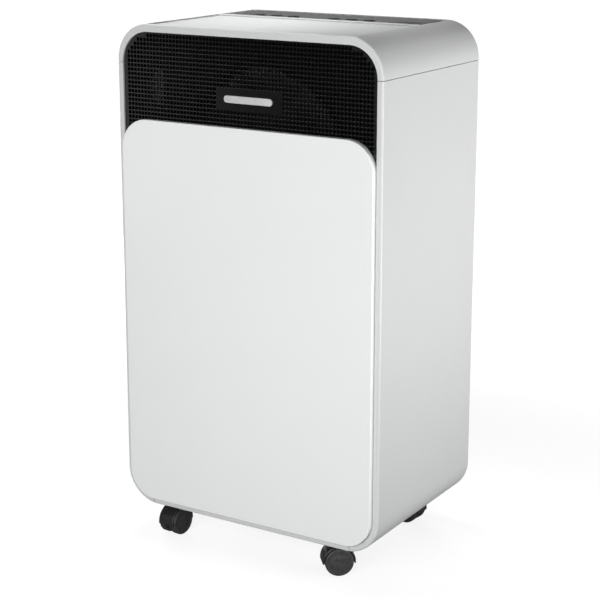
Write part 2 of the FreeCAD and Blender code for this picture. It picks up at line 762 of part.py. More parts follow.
def make_castors():
    hood, pins = make_castor_parts()
    wheel = make_castor_wheel()
    other_wheel = mirrored("wheel_mirror", wheel)
    for corner, (side_x, side_y, turn) in CASTOR_TURNS.items():
        spot = (side_x, side_y)
        placed("castor_hood_" + corner, hood, spot, turn)
        placed("castor_pins_" + corner, pins, spot, turn)
        placed("castor_wheel_" + corner + "_a", wheel, spot, turn)
        placed("castor_wheel_" + corner + "_b", other_wheel, spot, turn)


# ---------------------------------------------------------------- air path

RING_Y = (FRONT + 32, FRONT + 76)
PLATE_Y = (FRONT + 38, FRONT + 40.5)
BOX_HALF = Dims.coil_half + 21
BOX_Y_END = 28


def make_fan_shroud():
    """A front plate with the fan's ring, and the box that leads back to the coils."""
    outline = inset_prism("shroud_outline", Dims.wall + 0.7, PLATE_Y[0], PLATE_Y[1] - PLATE_Y[0])
    region = block("shroud_region", (-HALF_WIDTH, HALF_WIDTH), WHOLE_DEPTH, (TRAY_LOW + 6, HIGH - 9))
    plate = common("shroud_plate", outline, region)
    ring = rod("shroud_ring", Dims.ring_radius + 2.5, (0, RING_Y[0], FAN_Z), RING_Y[1] - RING_Y[0], axis="y")
    low = TRAY_LOW + 6
    high = HIGH - 24
    box = block("shroud_box", (-BOX_HALF, BOX_HALF), (PLATE_Y[0], BOX_Y_END), (low, high))
    room = block("shroud_room", (-BOX_HALF + 2.5, BOX_HALF - 2.5), (PLATE_Y[1], BOX_Y_END + 1),
                 (low + 2.5, high - 2.5))
    walls = cut("shroud_walls", box, room)
    bore = rod("ring_bore", Dims.ring_radius, (0, RING_Y[0] - 1, FAN_Z), 60, axis="y")
    port = slab("sensor_port", (27, 47, 13.4), 10, (-158, PLATE_Y[0] - 4, LOW + 480))
    node("fan_shroud", cut("shroud", fuse("shroud_solid", plate, ring, walls), bore, port))


MOTOR_Y = (FRONT + 78, FRONT + 130)
MOTOR_RADIUS = 40
SHAFT_RADIUS = 4


def make_motor():
    bore_y = MOTOR_Y[0] - 1
    shell = rod("motor_shell", MOTOR_RADIUS, (0, MOTOR_Y[0], FAN_Z), MOTOR_Y[1] - MOTOR_Y[0], axis="y")
    bore = rod("motor_bore", SHAFT_RADIUS + Dims.running_gap, (0, bore_y, FAN_Z), 30, axis="y")
    node("fan_motor", cut("motor", rounded("motor_round", shell, 4, lambda edge: edge.Length > 100), bore))
    clamp_y = (FRONT + 96, FRONT + 108)
    clamp = rod("clamp_ring", MOTOR_RADIUS + 5, (0, clamp_y[0], FAN_Z), clamp_y[1] - clamp_y[0], axis="y")
    reach = BOX_HALF - 2.5
    arms = [block("arm_across", (-reach, reach), clamp_y, (FAN_Z - 6, FAN_Z + 6)),
            block("arm_upright", (-6, 6), clamp_y, (TRAY_LOW + 8.5, HIGH - 26.5))]
    seat = rod("clamp_bore", MOTOR_RADIUS, (0, clamp_y[0] - 1, FAN_Z), 20, axis="y")
    node("motor_bracket", cut("bracket", fuse("bracket_solid", clamp, *arms), seat))


def make_fan_wheel():
    """Five pitched blades on a cup-shaped hub, and the shaft that carries them."""
    hub_y = (FRONT + 42, FRONT + 72)
    hub_radius = 36
    blades = []
    for number in range(5):
        blade = doc.addObject("Part::Box", "blade")
        bind(blade, "Length", 64)
        bind(blade, "Width", 2.5)
        bind(blade, "Height", Dims.fan_radius)
        pitch = FreeCAD.Rotation(FreeCAD.Vector(0, 0, 1), 26)
        round_the_hub = FreeCAD.Rotation(FreeCAD.Vector(0, 1, 0), 72 * number)
        turn = round_the_hub.multiply(pitch)
        blade.Placement.Rotation = turn
        offset = turn.multVec(FreeCAD.Vector(-32, 0, 0))
        put(blade, (offset.x, (hub_y[0] + hub_y[1]) / 2 + offset.y, FAN_Z + offset.z))
        blades.append(blade)
    sweep = rod("blade_sweep", Dims.fan_radius, (0, hub_y[0] - 20, FAN_Z), 80, axis="y")
    trimmed = common("blades_trimmed", fuse("blades", *blades), sweep)
    hub = rounded("hub_round", rod("hub", hub_radius, (0, hub_y[0], FAN_Z), hub_y[1] - hub_y[0], axis="y"),
                  5, lies_at("y", hub_y[0]))
    back = rod("hub_hollow", hub_radius - 3, (0, hub_y[0] + 4, FAN_Z), 60, axis="y")
    boss = rod("hub_boss", 8, (0, hub_y[0] + 3, FAN_Z), hub_y[1] - hub_y[0] - 3, axis="y")
    bore = rod("hub_bore", SHAFT_RADIUS, (0, hub_y[0] + 6, FAN_Z), 60, axis="y")
    shell = cut("fan_hollowed", fuse("fan_solid", trimmed, hub), back)
    node("fan_wheel", cut("fan", fuse("fan_with_boss", shell, boss), bore))
    shaft_y = hub_y[0] + 6
    shaft = rod("fan_shaft", SHAFT_RADIUS, (0, shaft_y, FAN_Z), MOTOR_Y[0] + 27 - shaft_y, axis="y")
    node("fan_shaft", shaft)


def make_coil(name, y_low):
    """Fins on level tubes between two end plates."""
    half = Dims.coil_half.value
    depth = Dims.coil_depth.value
    height = Dims.coil_height.value
    count = int(Dims.fin_count.value)
    rows = int(Dims.tube_rows.value)
    low = (TRAY_LOW + 2.5).value
    pitch = 2 * half / (count - 1)
    plates = []
    for number in range(count):
        end = number in (0, count - 1)
        thick = 1.2 if end else 0.5
        foot = 0 if end else 6
        corner = FreeCAD.Vector(-half + number * pitch - thick / 2, y_low.value, low + foot)
        plates.append(Part.makeBox(thick, depth, height - 2 * foot, corner))
    tubes = []
    for row in range(rows):
        level = low + height * (row + 0.5) / rows
        start = FreeCAD.Vector(-half - 4, y_low.value + depth / 2, level)
        tubes.append(Part.makeCylinder(4.5, 2 * half + 8, start, FreeCAD.Vector(1, 0, 0)))
    coil = doc.addObject("Part::Feature", name)
    coil.Shape = plates[0].multiFuse(plates[1:] + tubes)
    node(name, coil)


# ---------------------------------------------------------------- refrigeration and electrics

COMPRESSOR_X = 40
COMPRESSOR_Y = -56
COMPRESSOR_LOW = LOW + 16
CONDENSER_Y = BACK - 60
EVAPORATOR_Y = BACK - 32


def make_compressor():
    body = new_body("compressor", (COMPRESSOR_X, COMPRESSOR_Y, COMPRESSOR_LOW))
    profile = new_sketch(body, "compressor_profile", "XZ_Plane")
    r = Dims.compressor_radius
    tall = Dims.compressor_height
    add_polygon(profile, ((0, 0), (r + 2, 0), (r + 2, 3), (r, 3), (r, tall), (0, tall)))
    revolve(body, profile)
    soften(body, "compressor_dome", 20, lambda edge: lies_at("z", tall)(edge) and edge.Length > 200)
    node("compressor", body)
    feet = []
    for angle in (30, 150, 270):
        x = COMPRESSOR_X + 40 * math.cos(math.radians(angle))
        y = COMPRESSOR_Y + 40 * math.sin(math.radians(angle))
        feet.append(rod("rubber_foot", 8, (x, y, LOW + 3), 13))
    node("compressor_feet", group("feet", *feet))


def pipe(name, points, bend):
    """A round pipe through the points, with tangent arcs of one radius at its bends."""
    spots = [FreeCAD.Vector(*(as_size(size).value for size in point)) for point in points]
    edges = []
    start = spots[0]
    for before, corner, after in zip(spots, spots[1:], spots[2:]):
        into = (corner - before).normalize()
        out = (after - corner).normalize()
        first = corner - into * bend
        last = corner + out * bend
        middle = corner + (out - into).normalize() * bend * (math.sqrt(2) - 1)
        edges.append(Part.LineSegment(start, first).toShape())
        edges.append(Part.Arc(first, middle, last).toShape())
        start = last
    edges.append(Part.LineSegment(start, spots[-1]).toShape())
    path = Part.Wire(edges)
    direction = (spots[1] - spots[0]).normalize()
    section = Part.Wire(Part.Circle(spots[0], direction, Dims.pipe_radius.value).toShape())
    feature = doc.addObject("Part::Feature", name)
    feature.Shape = path.makePipeShell([section], True, True)
    return feature


def make_pipes():
    """Discharge line, the short return between the coils, and the suction line."""
    top = COMPRESSOR_LOW + Dims.compressor_height
    end = Dims.coil_half + 4
    condenser = CONDENSER_Y + Dims.coil_depth / 2
    evaporator = EVAPORATOR_Y + Dims.coil_depth / 2
    low = TRAY_LOW + 2.5
    row = Dims.coil_height / Dims.tube_rows
    first_row = low + row / 2
    fourth_row = low + row * 3.5
    last_row = low + row * 7.5
    out_x = COMPRESSOR_X + 12
    side = Dims.coil_half + 30
    discharge = pipe("discharge_line", (
        (out_x, COMPRESSOR_Y, top), (out_x, COMPRESSOR_Y, top + 20), (side, COMPRESSOR_Y, top + 20),
        (side, COMPRESSOR_Y, fourth_row), (side, condenser, fourth_row), (end, condenser, fourth_row)), 12)
    between = pipe("return_line", (
        (end, condenser, first_row), (end + 17, condenser, first_row),
        (end + 17, evaporator, first_row), (end, evaporator, first_row)), 12)
    far_side = side + 13
    in_x = COMPRESSOR_X - 12
    suction = pipe("suction_line", (
        (end, evaporator, last_row), (far_side, evaporator, last_row), (far_side, -30, last_row),
        (far_side, -30, top + 32), (in_x, -30, top + 32), (in_x, COMPRESSOR_Y + 6, top + 32),
        (in_x, COMPRESSOR_Y + 6, top)), 12)
    node("refrigerant_pipes", group("pipes", discharge, between, suction))


def make_electrics():
    """Main board with its components, run capacitor, and the reed switch that feels the float."""
    board_y = Dims.bulkhead_y - 12
    pieces = [block("main_board_plate", (-150, -45), (board_y, board_y + 1.6), (LOW + 70, LOW + 190))]
    for x, z, w, tall, thick in ((-135, 150, 22, 22, 18), (-105, 150, 18, 26, 16), (-80, 90, 26, 40, 22)):
        pieces.append(block("component", (x, x + w), (board_y - thick, board_y + 0.5),
                            (LOW + z, LOW + z + tall)))
    node("main_board", fuse("main_board_solid", *pieces))
    can = rod("capacitor_can", 18, (-105, COMPRESSOR_Y, LOW + 3), 62)
    node("run_capacitor", rounded("capacitor", can, 3, lies_at("z", LOW + 65)))
    switch = block("reed_switch", (-112, -88), (Dims.bulkhead_y - 6, Dims.bulkhead_y),
                   (BUCKET_TOP - 36, BUCKET_TOP - 16))
    node("level_switch", switch)


def make_power_inlet():
    """A flanged mains inlet with three pins; its socket opens to the back."""
    x = Dims.swivel_x
    wall = 2
    half, tall = INLET_CORE[0] / 2, INLET_CORE[1] / 2
    flange = slab("inlet_flange", (*INLET_SIZE, 3), 3, (x - INLET_SIZE[0] / 2, BACK, PORT_Z - 13))
    core = block("inlet_core", (x - half, x + half), (BACK - 20, BACK + 1), (PORT_Z - tall, PORT_Z + tall))
    socket = block("inlet_socket", (x - half + wall, x + half - wall), (BACK - 16, BACK + 3),
                   (PORT_Z - tall + wall, PORT_Z + tall - wall))
    pins = [block("inlet_pin", (x + dx - 1, x + dx + 1), (BACK - 17, BACK - 4), (PORT_Z - 5, PORT_Z - 1))
            for dx in (-7, 0, 7)]
    shell = cut("inlet_shell", fuse("inlet_solid", flange, core), socket)
    node("power_inlet", fuse("inlet", shell, *pins))


# ---------------------------------------------------------------- water

GRIP_HALF = 50
GRIP_LOW = BUCKET_TOP - 46
GRIP_HIGH = BUCKET_TOP - 20
BUCKET_Y = (Dims.bulkhead_y + 7, BACK - 3.5)
LID_TOP = BUCKET_TOP + 2.5
HINGE_Y = BUCKET_Y[0] + 22
HINGE_Z = LID_TOP + 5.5
FLOAT_X = -100
FLOAT_Y = BUCKET_Y[0] + 12
FLOAT_Z = BUCKET_TOP - 23


def make_drip_tray():
    half = Dims.coil_half + 30
    ys = (BACK - 86, BACK - 6)
    outer = block("tray_outer", (-half, half), ys, (TRAY_LOW, TRAY_LOW + 20))
    inner = block("tray_inner", (-half + 2.5, half - 2.5), (ys[0] + 2.5, ys[1] - 2.5),
                  (TRAY_LOW + 2.5, TRAY_LOW + 30))
    spout_y = BACK - 31
    spout = rod("tray_spout", 7, (0, spout_y, TRAY_LOW - 14), 15)
    bore = rod("tray_bore", 5, (0, spout_y, TRAY_LOW - 20), 40)
    node("drip_tray", cut("tray", fuse("tray_solid", outer, spout), inner, bore))


def make_bucket():
    width = 2 * Dims.bucket_half
    depth = BUCKET_Y[1] - BUCKET_Y[0]
    wall = Dims.bucket_wall
    body = new_body("bucket_shell", (-Dims.bucket_half, BUCKET_Y[0], BUCKET_LOW))
    outline = new_sketch(body, "bucket_outline", "XY_Plane")
    add_rounded(outline, 0, 0, width, depth, 12)
    pad(body, outline, Dims.bucket_height)
    soften(body, "bucket_bottom", 5, lies_at("z", 0))
    hollow = new_sketch(body, "bucket_hollow", "XY_Plane", lift=wall)
    add_rounded(hollow, wall, wall, width - 2 * wall, depth - 2 * wall, 12 - wall)
    pocket(body, hollow, Dims.bucket_height, backwards=True)
    back = BUCKET_Y[1]
    grip_box = block("grip_cup", (-GRIP_HALF - 4, GRIP_HALF + 4), (back - 24, back - 1),
                     (GRIP_LOW - 4, GRIP_HIGH + 4))
    grip_room = block("grip_room", (-GRIP_HALF, GRIP_HALF), (back - 21, back + 1), (GRIP_LOW, GRIP_HIGH))
    node("bucket", cut("bucket_solid", fuse("bucket_with_grip", body, grip_box), grip_room))
    plug = block("front_plug", (-Dims.bucket_half, Dims.bucket_half), (back, BACK + 0.5),
                 (BUCKET_LOW, BUCKET_TOP + 12))
    flange = slab("front_flange", (width + 18, BUCKET_TOP + 21 - BUCKET_LOW + 6, 10), 5.2,
                  (-Dims.bucket_half - 9, BACK + 0.4, BUCKET_LOW - 6))
    slot = block("front_slot", (-GRIP_HALF, GRIP_HALF), (back - 1, BACK + 8), (GRIP_LOW, GRIP_HIGH))
    edged = rounded("front_edged", flange, 2, lies_at("y", BACK + 5.6))
    node("bucket_front", cut("bucket_face", fuse("face_solid", plug, edged), slot))


def make_bucket_top():
    """Lid with the funnel hole, the handle's lugs on it and the float's lugs under it."""
    inner = BUCKET_Y[0] + 1
    half = Dims.bucket_half - 1
    pieces = [block("lid_plate", (-half, half), (inner, BUCKET_Y[1] - 0.5), (BUCKET_TOP, LID_TOP))]
    bores = [rod("funnel_hole", 16, (0, BACK - 31, BUCKET_TOP - 5), 20)]
    pin = 2 + Dims.running_gap
    for side in (-1, 1):
        x = side * (Dims.bucket_half - 4)
        pieces.append(block("handle_lug", (x - 2, x + 2), (HINGE_Y - 5, HINGE_Y + 5),
                            (LID_TOP - 1, HINGE_Z + 5)))
        bores.append(rod("handle_bore", pin, (x - 3, HINGE_Y, HINGE_Z), 6, axis="x"))
        x = FLOAT_X + side * 10
        pieces.append(block("float_lug", (x - 2, x + 2), (FLOAT_Y - 4, FLOAT_Y + 4),
                            (FLOAT_Z - 4, BUCKET_TOP + 1)))
        bores.append(rod("float_bore", pin, (x - 3, FLOAT_Y, FLOAT_Z), 6, axis="x"))
    node("bucket_lid", cut("lid", fuse("lid_solid", *pieces), *bores))
    reach = Dims.bucket_half - 9
    bar_y = HINGE_Y + 28
    pieces = [rod("handle_pin", 2, (-reach - 6.5, HINGE_Y, HINGE_Z), 9, axis="x"),
              rod("handle_pin", 2, (reach - 2.5, HINGE_Y, HINGE_Z), 9, axis="x"),
              block("handle_bar", (-reach, reach), (bar_y, bar_y + 8), (HINGE_Z - 3, HINGE_Z + 3))]
    for side in (-1, 1):
        x = side * (reach - 4)
        pieces.append(block("handle_arm", (x - 4, x + 4), (HINGE_Y - 4, bar_y + 4),
                            (HINGE_Z - 3, HINGE_Z + 3)))
    node("bucket_handle", fuse("handle", *pieces))
    pieces = [block("float_block", (FLOAT_X - 20, FLOAT_X + 20), (FLOAT_Y + 15, FLOAT_Y + 52),
                    (FLOAT_Z - 20, FLOAT_Z + 4)),
              block("float_arm", (FLOAT_X - 4, FLOAT_X + 4), (FLOAT_Y - 3, FLOAT_Y + 16),
                    (FLOAT_Z - 3, FLOAT_Z + 3)),
              rod("float_pin", 2, (FLOAT_X - 12, FLOAT_Y, FLOAT_Z), 24, axis="x")]
    node("float", fuse("float_solid", *pieces))


def make_drain_cap():
    stem = rod("cap_stem", 6, (-Dims.swivel_x, BACK - 12, PORT_Z), 13, axis="y")
    head = rod("cap_head", 10, (-Dims.swivel_x, BACK + 0.4, PORT_Z), 3.6, axis="y")
    node("drain_cap", fuse("cap", stem, rounded("cap_round", head, 1, lies_at("y", BACK + 4))))


# ---------------------------------------------------------------- rear grille and filter


def make_cassette():
    """Louvred rear grille with the filter's frame and nets in its back."""
    half = Dims.cassette_half
    low = CASSETTE_LOW
    high = CASSETTE_HIGH
    y_in = BACK + 0.5
    y_out = BACK + Dims.panel_proud
    edge = 8
    bar = 4
    body = new_body("grille_form", (-half, y_in, low))
    outline = new_sketch(body, "cassette_outline", "XZ_Plane")
    add_rectangle(outline, 0, 0, 2 * half, high - low)
    pad(body, outline, 3, backwards=True)
    face = new_sketch(body, "cassette_face", "XZ_Plane", lift=-2)
    add_rounded(face, 3.6, 0.5, 2 * half - 7.2, high - low - 1, 6)
    pad(body, face, y_out - y_in - 2, backwards=True)
    room = new_sketch(body, "filter_room", "XZ_Plane", lift=1)
    add_rectangle(room, edge, edge, 2 * half - 2 * edge, high - low - 2 * edge)
    pocket(body, room, 3)
    slots = new_sketch(body, "louvre_slots", "XZ_Plane", lift=1)
    margin = edge + bar
    slot_width = (2 * half - 2 * margin - 3 * bar) / 4
    for column in range(4):
        add_rectangle(slots, margin + column * (slot_width + bar), margin + 2, slot_width, 5)
    louvre = pocket(body, slots, 10)
    repeat(body, slots, louvre, "V_Axis", high - low - 40, 24)
    node("rear_grille", body)
    inset = edge + 0.4
    inner = half - inset
    frame_y = (y_in + 0.1, y_in + 1.9)
    ring = block("filter_ring", (-inner, inner), frame_y, (low + inset, high - inset))
    cell_w = (2 * inner - 4 * bar) / 3
    cell_h = (high - low - 2 * inset - 3 * bar) / 2
    cells = []
    for column in range(3):
        for row in range(2):
            x = -inner + bar + column * (cell_w + bar)
            z = low + inset + bar + row * (cell_h + bar)
            cells.append(((x, x + cell_w), (z, z + cell_h)))
    holes = [block("filter_cell", xs, (frame_y[0] - 1, frame_y[1] + 1), zs) for xs, zs in cells]
    node("filter_frame", cut("filter", ring, *holes))
    nets = [block("filter_net", xs, (y_in + 0.7, y_in + 1.3), zs) for xs, zs in cells]
    node("filter_mesh", group("nets", *nets))


def make_screws():
    screws = []
    for side in (-1, 1):
        for height in SCREW_HEIGHTS:
            spot = (side * SCREW_X, BACK - 14, height)
            shank = rod("screw_shank", SCREW_RADIUS, spot, 14.5, axis="y")
            head = rod("screw_head", 3.2, (side * SCREW_X, BACK, height), 1.8, axis="y")
            screws.append(fuse("screw", shank, head))
    node("rear_screws", group("screws", *screws))


# ---------------------------------------------------------------- build and write


def build():
    make_side_panels()
    make_base_pan()
    make_top_cover()
    make_rear_panel()
    make_bulkhead()
    make_front_panel()
    make_front_grille()
    make_top_deck()
    make_control_panel()
    make_buttons()
    make_control_board()
    make_castors()
    make_fan_shroud()
    make_motor()
    make_fan_wheel()
    make_coil("evaporator", EVAPORATOR_Y)
    make_coil("condenser", CONDENSER_Y)
    make_compressor()
    make_pipes()
    make_electrics()
    make_power_inlet()
    make_drip_tray()
    make_bucket()
    make_bucket_top()
    make_drain_cap()
    make_cassette()
    make_screws()
    doc.recompute()


def check():
    """Stops before anything is written if a feature has failed or a sub-part is not sound."""
    for thing in doc.Objects:
        if "Invalid" in thing.State or "Error" in thing.State:
            raise RuntimeError(f"{thing.Label} has failed: {thing.State}")
    for thing in NODES:
        if thing.Shape.isNull() or not thing.Shape.isValid() or not thing.Shape.Solids:
            raise RuntimeError(f"{thing.Label} is not a valid solid")


def write():
    os.makedirs("parts", exist_ok=True)
    for thing in NODES:
        thing.Shape.exportStep(f"parts/{thing.Label}.step")
    print(len(NODES), "sub-parts written")


build()
check()
write()
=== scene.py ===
"""The looks of the portable dehumidifier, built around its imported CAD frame."""

import json
import math

import bmesh
import bpy
from mathutils import Matrix, Vector


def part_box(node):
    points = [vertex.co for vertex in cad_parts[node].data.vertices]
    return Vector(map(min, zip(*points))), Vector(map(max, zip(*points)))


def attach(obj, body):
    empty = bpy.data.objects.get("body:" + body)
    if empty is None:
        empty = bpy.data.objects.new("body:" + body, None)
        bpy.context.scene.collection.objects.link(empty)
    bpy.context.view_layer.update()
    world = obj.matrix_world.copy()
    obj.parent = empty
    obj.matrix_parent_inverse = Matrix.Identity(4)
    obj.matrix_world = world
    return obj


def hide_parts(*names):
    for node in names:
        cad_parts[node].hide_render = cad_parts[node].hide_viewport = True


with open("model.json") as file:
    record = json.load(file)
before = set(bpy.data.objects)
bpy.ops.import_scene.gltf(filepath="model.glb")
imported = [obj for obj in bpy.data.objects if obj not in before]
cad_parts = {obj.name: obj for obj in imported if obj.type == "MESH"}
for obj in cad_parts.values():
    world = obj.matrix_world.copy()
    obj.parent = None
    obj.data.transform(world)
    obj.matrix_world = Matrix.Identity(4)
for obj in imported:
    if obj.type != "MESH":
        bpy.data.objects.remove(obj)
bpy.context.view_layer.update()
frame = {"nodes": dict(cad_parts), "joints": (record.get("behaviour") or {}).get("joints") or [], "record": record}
NODES = frame["nodes"]
JOINTS = {joint["name"]: joint for joint in frame["joints"]}
MM = 0.001
CORNERS = ("front_left", "front_right", "rear_left", "rear_right")

# ---------------------------------------------------------------- material helpers


def add(tree, kind, settings=None, **inputs):
    """A shader node, with its inputs set to values or linked from sockets."""
    made = tree.nodes.new("ShaderNode" + kind)
    for key, value in (settings or {}).items():
        setattr(made, key, value)
    for key, value in inputs.items():
        socket = made.inputs[key.replace("_", " ")]
        if isinstance(value, bpy.types.NodeSocket):
            tree.links.new(value, socket)
        else:
            socket.default_value = value
    return made


def new_look(name):
    """A new material, its tree and its shader."""
    material = bpy.data.materials.new(name)
    material.use_nodes = True
    tree = material.node_tree
    return material, tree, tree.nodes["Principled BSDF"]


def place(tree, stretch=(1, 1, 1)):
    """The point on the part, in metres, stretched along its axes."""
    coordinates = add(tree, "TexCoord").outputs["Object"]
    if stretch == (1, 1, 1):
        return coordinates
    return add(tree, "Mapping", Vector=coordinates, Scale=stretch).outputs["Vector"]


def noise(tree, point, size, detail=2.0, roughness=0.5):
    """Noise whose features are about size millimetres wide."""
    made = add(tree, "TexNoise", Vector=point, Scale=1 / (size * MM), Detail=detail, Roughness=roughness)
    return made.outputs["Fac"]


def spread(tree, value, low, high):
    """The value from 0 to 1 taken to the range from low to high."""
    return add(tree, "MapRange", Value=value, To_Min=low, To_Max=high).outputs["Result"]


def tinted(tree, value, colour, amount, tint=(0, 0, 0)):
    """The colour, pulled towards the tint by up to amount where the value is high."""
    towards = [c + (t - c) * amount for c, t in zip(colour, tint)]
    ramp = add(tree, "ValToRGB", Fac=value)
    ramp.color_ramp.elements[0].position = 0.3
    ramp.color_ramp.elements[0].color = (*colour, 1)
    ramp.color_ramp.elements[1].position = 0.7
    ramp.color_ramp.elements[1].color = (*towards, 1)
    return ramp.outputs["Color"]


def bump(tree, height, depth, strength=1.0, normal=None):
    """A bump of the height, depth millimetres deep."""
    made = add(tree, "Bump", Height=height, Distance=depth * MM, Strength=strength)
    if normal is not None:
        tree.links.new(normal, made.inputs["Normal"])
    return made.outputs["Normal"]


def moulded(name, colour, roughness, grain=0.6, depth=0.02, mottle=0.03, coat=0.0, specular=0.5, wave=0.05):
    """Moulded plastic: a fine grain, a slow waviness, and faint flow marks in colour and gloss.

    Grain, depth and wave are in millimetres: the grain's width and depth, and the waviness's depth.
    """
    material, tree, shader = new_look(name)
    point = place(tree)
    fine = noise(tree, point, grain, detail=3)
    slow = noise(tree, point, 60, detail=3)
    tree.links.new(tinted(tree, slow, colour, mottle), shader.inputs["Base Color"])
    gloss = noise(tree, point, 9, detail=4, roughness=0.6)
    tree.links.new(spread(tree, gloss, roughness * 0.85, roughness * 1.15), shader.inputs["Roughness"])
    broad = bump(tree, noise(tree, point, 35, detail=1), wave, strength=0.3)
    tree.links.new(bump(tree, fine, depth, normal=broad), shader.inputs["Normal"])
    shader.inputs["Coat Weight"].default_value = coat
    shader.inputs["Coat Roughness"].default_value = 0.12
    shader.inputs["Specular IOR Level"].default_value = specular
    return material


def brushed(name, colour, roughness, direction, lines=0.25, depth=0.01):
    """Metal brushed or drawn along one axis, with lines so many millimetres wide and deep."""
    material, tree, shader = new_look(name)
    stretch = tuple(0.02 if axis == direction else 1 for axis in "xyz")
    streaks = noise(tree, place(tree, stretch), lines, detail=4, roughness=0.7)
    slow = noise(tree, place(tree), 12, detail=3)
    tree.links.new(tinted(tree, slow, colour, 0.12), shader.inputs["Base Color"])
    tree.links.new(spread(tree, streaks, roughness * 0.7, roughness * 1.3), shader.inputs["Roughness"])
    tree.links.new(bump(tree, streaks, depth), shader.inputs["Normal"])
    shader.inputs["Metallic"].default_value = 1
    return material


def painted(name, colour, roughness):
    """Sprayed paint with orange peel and a little dust."""
    material, tree, shader = new_look(name)
    point = place(tree)
    dust = noise(tree, point, 14, detail=5, roughness=0.65)
    tree.links.new(tinted(tree, dust, colour, 0.25, (0.35, 0.34, 0.32)), shader.inputs["Base Color"])
    tree.links.new(spread(tree, dust, roughness * 0.8, roughness * 1.4), shader.inputs["Roughness"])
    tree.links.new(bump(tree, noise(tree, point, 2.2, detail=1), 0.03), shader.inputs["Normal"])
    return material


def rubber(name, colour):
    """Matt rubber with a fine pitted skin and pale dust in it."""
    material, tree, shader = new_look(name)
    point = place(tree)
    dust = noise(tree, point, 5, detail=5, roughness=0.7)
    tree.links.new(tinted(tree, dust, colour, 0.12, (0.3, 0.3, 0.29)), shader.inputs["Base Color"])
    tree.links.new(spread(tree, dust, 0.45, 0.7), shader.inputs["Roughness"])
    tree.links.new(bump(tree, noise(tree, point, 0.4, detail=3), 0.04), shader.inputs["Normal"])
    return material


def foam(name, colour):
    """Closed-cell foam."""
    material, tree, shader = new_look(name)
    point = place(tree)
    cells = add(tree, "TexVoronoi", Vector=point, Scale=1 / (1.4 * MM)).outputs["Distance"]
    tree.links.new(tinted(tree, cells, colour, 0.1), shader.inputs["Base Color"])
    tree.links.new(bump(tree, cells, 0.15, strength=0.6), shader.inputs["Normal"])
    shader.inputs["Roughness"].default_value = 0.8
    return material


def copper(name, colour):
    """Bright drawn copper, browned in patches where it was brazed."""
    material, tree, shader = new_look(name)
    point = place(tree)
    heat = noise(tree, point, 45, detail=4, roughness=0.6)
    tree.links.new(tinted(tree, heat, colour, 0.6, (0.16, 0.07, 0.04)), shader.inputs["Base Color"])
    tree.links.new(spread(tree, noise(tree, point, 3, detail=4), 0.2, 0.42), shader.inputs["Roughness"])
    tree.links.new(bump(tree, noise(tree, point, 1.2), 0.01), shader.inputs["Normal"])
    shader.inputs["Metallic"].default_value = 1
    return material


def circuit(name, colour):
    """Solder mask over copper tracks."""
    material, tree, shader = new_look(name)
    point = place(tree)
    tracks = add(tree, "TexBrick", Vector=point, Scale=160, Mortar_Size=0.03,
                 Color1=(0, 0, 0, 1), Color2=(0, 0, 0, 1), Mortar=(1, 1, 1, 1)).outputs["Color"]
    lighter = [min(1, c * 2.2 + 0.01) for c in colour]
    tree.links.new(tinted(tree, tracks, colour, 1, lighter), shader.inputs["Base Color"])
    tree.links.new(bump(tree, tracks, 0.04), shader.inputs["Normal"])
    tree.links.new(spread(tree, noise(tree, point, 4), 0.25, 0.45), shader.inputs["Roughness"])
    return material


def clouded(name, colour, roughness):
    """Milky, slightly see-through bucket plastic."""
    material, tree, shader = new_look(name)
    point = place(tree)
    slow = noise(tree, point, 40, detail=3)
    tree.links.new(tinted(tree, slow, colour, 0.08), shader.inputs["Base Color"])
    tree.links.new(spread(tree, noise(tree, point, 6, detail=3), roughness * 0.8, roughness * 1.2),
                   shader.inputs["Roughness"])
    tree.links.new(bump(tree, noise(tree, point, 0.9, detail=2), 0.03), shader.inputs["Normal"])
    shader.inputs["Subsurface Weight"].default_value = 0.25
    shader.inputs["Subsurface Radius"].default_value = (0.01, 0.01, 0.01)
    return material


# ---------------------------------------------------------------- materials, by record slot

SHELL_WHITE = (0.605, 0.615, 0.61)
PANEL_WHITE = (0.83, 0.84, 0.84)

